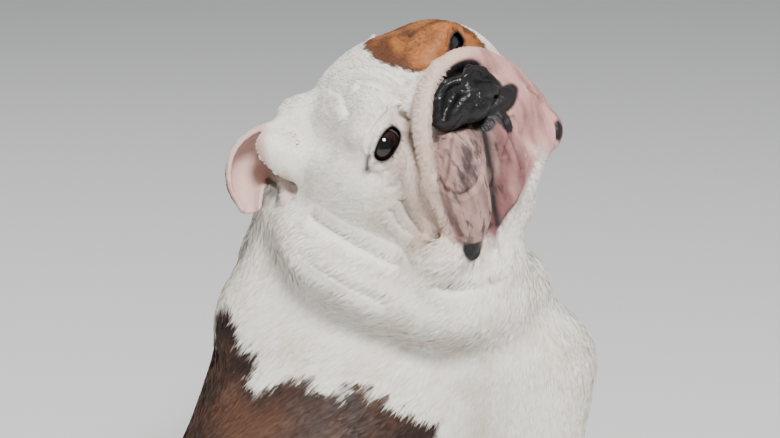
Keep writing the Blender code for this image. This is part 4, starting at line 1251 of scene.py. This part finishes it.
def makeCoatPiece(name, number):
    made = linked(bpy.data.objects.new(name, skin.data))
    grown = made.modifiers.new("coat", "NODES")
    grown.node_group = coatTree
    many = coatTufts["perSquareMetre"]
    wide = coatTufts["width"]
    values = {
        "Tuft": tuft, "Coat": coatMaterial, "Piece": float(number), "Seed": coatTufts["firstSeed"] + number,
        "Tufts per square metre": float(many), "Blade width": wide * mm,
        "Lift": math.radians(coatTufts["lift"]), "Lift spread": math.radians(coatTufts["liftSpread"]),
        "Turn spread": math.radians(coatTufts["turnSpread"]),
    }
    for label, value in values.items():
        grown[socketOf[label]] = value
    finished(made)
    print(name, len(made.data.polygons) // 2 * 3, "triangles")
    return made


coats = [makeCoatPiece(name, number) for number, name in enumerate(coatPieces)]
bpy.data.objects.remove(tuft)


# nose leather, eyes and claws

noseGrid = evenGrid(head.point(noseShape["place"]), noseShape["reach"], noseShape["step"])
noseFlesh = Flesh(noseGrid)
addNose(noseFlesh)
nose = meshObject("noseLeather", *noseFlesh.surface())


leatherLook = {"colour": (0.006, 0.0055, 0.006), "roughness": 0.36, "specular": 0.35, "pebbles": 700,
               "pebbleBump": (0.3, 0.0005), "wrinkles": (130, 2, 0.5), "wrinkleBump": (0.6, 0.003)}


def makeLeather():
    material, nodes, shader = newMaterial("nose leather")
    pebbles = nodes.out("ShaderNodeTexVoronoi", Vector=nodes.objectPlace(), Scale=leatherLook["pebbles"])
    pebbles = nodes.bump(pebbles, *leatherLook["pebbleBump"])
    wrinkles = nodes.noise(nodes.objectPlace(), *leatherLook["wrinkles"])
    wrinkles = nodes.bump(wrinkles, *leatherLook["wrinkleBump"], Normal=pebbles)
    nodes.give(shader, Base_Color=leatherLook["colour"], Roughness=leatherLook["roughness"],
               Specular_IOR_Level=leatherLook["specular"], Normal=wrinkles)
    return material


nose.data.materials.append(makeLeather())
print("nose made")


def makeEye(name, side):
    shape = bmesh.new()
    bmesh.ops.create_uvsphere(shape, u_segments=48, v_segments=32, radius=eyeShape["radius"] * mm)
    shape.transform(Matrix.Translation(head.point(eyeMiddle(side)) * mm))
    return meshFromShape(name, shape)


eyeLook = {"gaze": (0.92, 0.30, 0.16), "pupil": 4.6, "iris": 11.0, "roughness": 0.06,
           "black": (0.002, 0.002, 0.002), "brown": (0.014, 0.008, 0.006), "rim": (0.008, 0.005, 0.004),
           "white": (0.10, 0.07, 0.065)}


def makeEyeMaterial(name, side):
    material, nodes, shader = newMaterial(name)
    gaze = np.array(eyeLook["gaze"]) * (1, side, 1)
    front = eyeMiddle(side) + eyeShape["radius"] * gaze / np.linalg.norm(gaze)
    away = nodes.vectors("DISTANCE", nodes.objectPlace(), head.point(front) * mm)
    pupil, iris = eyeLook["pupil"] * mm, eyeLook["iris"] * mm
    colour = nodes.mix(nodes.between(away, pupil, pupil + 1.5 * mm), eyeLook["black"], eyeLook["brown"])
    colour = nodes.mix(nodes.between(away, iris - 2.5 * mm, iris), colour, eyeLook["rim"])
    colour = nodes.mix(nodes.between(away, iris, iris + 1.8 * mm), colour, eyeLook["white"])
    nodes.give(shader, Base_Color=colour, Roughness=eyeLook["roughness"])
    return material


eyes = [makeEye("eyeLeft", 1), makeEye("eyeRight", -1)]
for eye, side in zip(eyes, (1, -1)):
    eye.data.materials.append(makeEyeMaterial("dark " + eye.name, side))
print("eyes made")

clawShape = {"length": 13.0, "radius": 3.4, "tip": 0.9, "sides": 14, "rings": 8, "curl": 3.0, "flat": 0.85,
             "way": (0.88, 0, -0.42)}


def makeClaw(name, place, size, toe):
    forward, across = toe
    root = place.point(((forward + 11) * size, across * 1.1 * size, 10.5 * size))
    way = place.direction(clawShape["way"])
    side = np.cross(way, (0, 0, 1))
    side /= np.linalg.norm(side)
    down = np.cross(way, side)
    down = down if down[2] < 0 else -down
    shape = bmesh.new()
    rings = []
    for t in np.linspace(0, 1, clawShape["rings"] + 1):
        curl = clawShape["curl"] * (t * t - 0.4 * t)
        middle = root + way * clawShape["length"] * size * t + down * curl
        radius = size * (clawShape["radius"] * (1 - t) ** 0.7 + clawShape["tip"] * t)
        ring = []
        for corner in range(clawShape["sides"]):
            angle = 2 * math.pi * corner / clawShape["sides"]
            out = clawShape["flat"] * math.cos(angle) * side + math.sin(angle) * down
            ring.append(shape.verts.new((middle + radius * out) * mm))
        rings.append(ring)
    for low, high in zip(rings, rings[1:]):
        for corner in range(clawShape["sides"]):
            shape.faces.new((low[corner - 1], low[corner], high[corner], high[corner - 1]))
    shape.faces.new(rings[0])
    shape.faces.new(rings[-1])
    bmesh.ops.recalc_face_normals(shape, faces=shape.faces[:])
    return meshFromShape(name, shape)


clawMaterial = plainMaterial("dark horn of the claws", (0.06, 0.045, 0.036), 0.35)
claws = {}
for side, letter in ((1, "l"), (-1, "r")):
    for limb, size in (("fore", 1.0), ("hind", pose["hindpawSize"])):
        place = pawPlace(pose[limb + "paw"], pose[limb + "pawTurn"], side)
        for number, toe in enumerate(toes, 1):
            node = f"claw_{limb}_{letter}_{number}"
            claws[node] = makeClaw(node + "_horn", place, size, toe)
            claws[node].data.materials.append(clawMaterial)
print("claws made")


# floor, light and camera

stageSetup = {
    "floorColour": (0.72, 0.72, 0.71),
    "floorSize": 12.0,
    "backdrop": (0.86, 0.88, 0.90),
    "backdropLight": 0.42,
    "aim": (0, -0.12, 0.25),
}
lampSetup = {       # place, power and size
    "key": ((-1.5, 0.9, 2.3), 128, 0.6),
    "fill": ((-1.9, -2.0, 1.2), 9, 2.2),
    "rim": ((1.7, 0.6, 1.9), 24, 1.0),
}

floorShape = bmesh.new()
bmesh.ops.create_grid(floorShape, x_segments=1, y_segments=1, size=stageSetup["floorSize"] / 2)
floor = meshFromShape("floor", floorShape)
floor.data.materials.append(plainMaterial("pale floor", stageSetup["floorColour"], 0.8))

world = bpy.data.worlds.new("studio")
world.use_nodes = True
Nodes(world.node_tree).give(world.node_tree.nodes["Background"], Color=stageSetup["backdrop"],
                            Strength=stageSetup["backdropLight"])
bpy.context.scene.world = world

for name, (spot, power, size) in lampSetup.items():
    lamp = bpy.data.lights.new(name + "Light", "AREA")
    lamp.energy = power
    lamp.size = size
    lampObject = linked(bpy.data.objects.new(name + "Light", lamp))
    lampObject.location = spot
    way = Vector(stageSetup["aim"]) - Vector(spot)
    lampObject.rotation_euler = way.to_track_quat("-Z", "Y").to_euler()

cameraSetup = {"turn": 50.0, "pitch": 16.0, "distance": 1150.0, "pixelsPerMm": 1.5, "headPixel": (415, 92),
               "width": 780, "height": 438}


def makeCamera():
    turn, pitch = math.radians(cameraSetup["turn"]), math.radians(cameraSetup["pitch"])
    right = np.array([-math.sin(turn), -math.cos(turn), 0])
    ahead = np.array([-math.cos(turn), math.sin(turn), 0])
    view = -math.cos(pitch) * ahead - math.sin(pitch) * np.array([0, 0, 1])
    up = math.cos(pitch) * np.array([0, 0, 1]) - math.sin(pitch) * ahead
    focal = cameraSetup["pixelsPerMm"] * cameraSetup["distance"]
    px, py = cameraSetup["headPixel"]
    across = (px - cameraSetup["width"] / 2) / focal
    above = (cameraSetup["height"] / 2 - py) / focal
    place = head.origin - cameraSetup["distance"] * (view + across * right + above * up)
    camera = bpy.data.cameras.new("camera")
    camera.sensor_width = 36
    camera.lens = focal / cameraSetup["width"] * 36
    camera.clip_start, camera.clip_end = 0.05, 50
    made = linked(bpy.data.objects.new("camera", camera))
    axes = Matrix((right, up, -view)).transposed().to_4x4()
    made.matrix_world = Matrix.Translation(place * mm) @ axes
    bpy.context.scene.camera = made


makeCamera()
print("stage made")


# which CAD nodes each piece stands for

fleshNodes = ["chest", "head", "neck", "rump", "tail"] + [
    part + side for part in ("thigh", "hindpaw", "foreleg", "forepaw", "ear") for side in ("_l", "_r")]
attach(skin, "root")
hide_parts(*fleshNodes)
for coat in coats:
    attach(coat, "root")
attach(nose, "root")
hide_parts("nose")
for eye, node in zip(eyes, ("eye_l", "eye_r")):
    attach(eye, "root")
    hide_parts(node)
for node, claw in claws.items():
    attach(claw, "root")
    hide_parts(node)
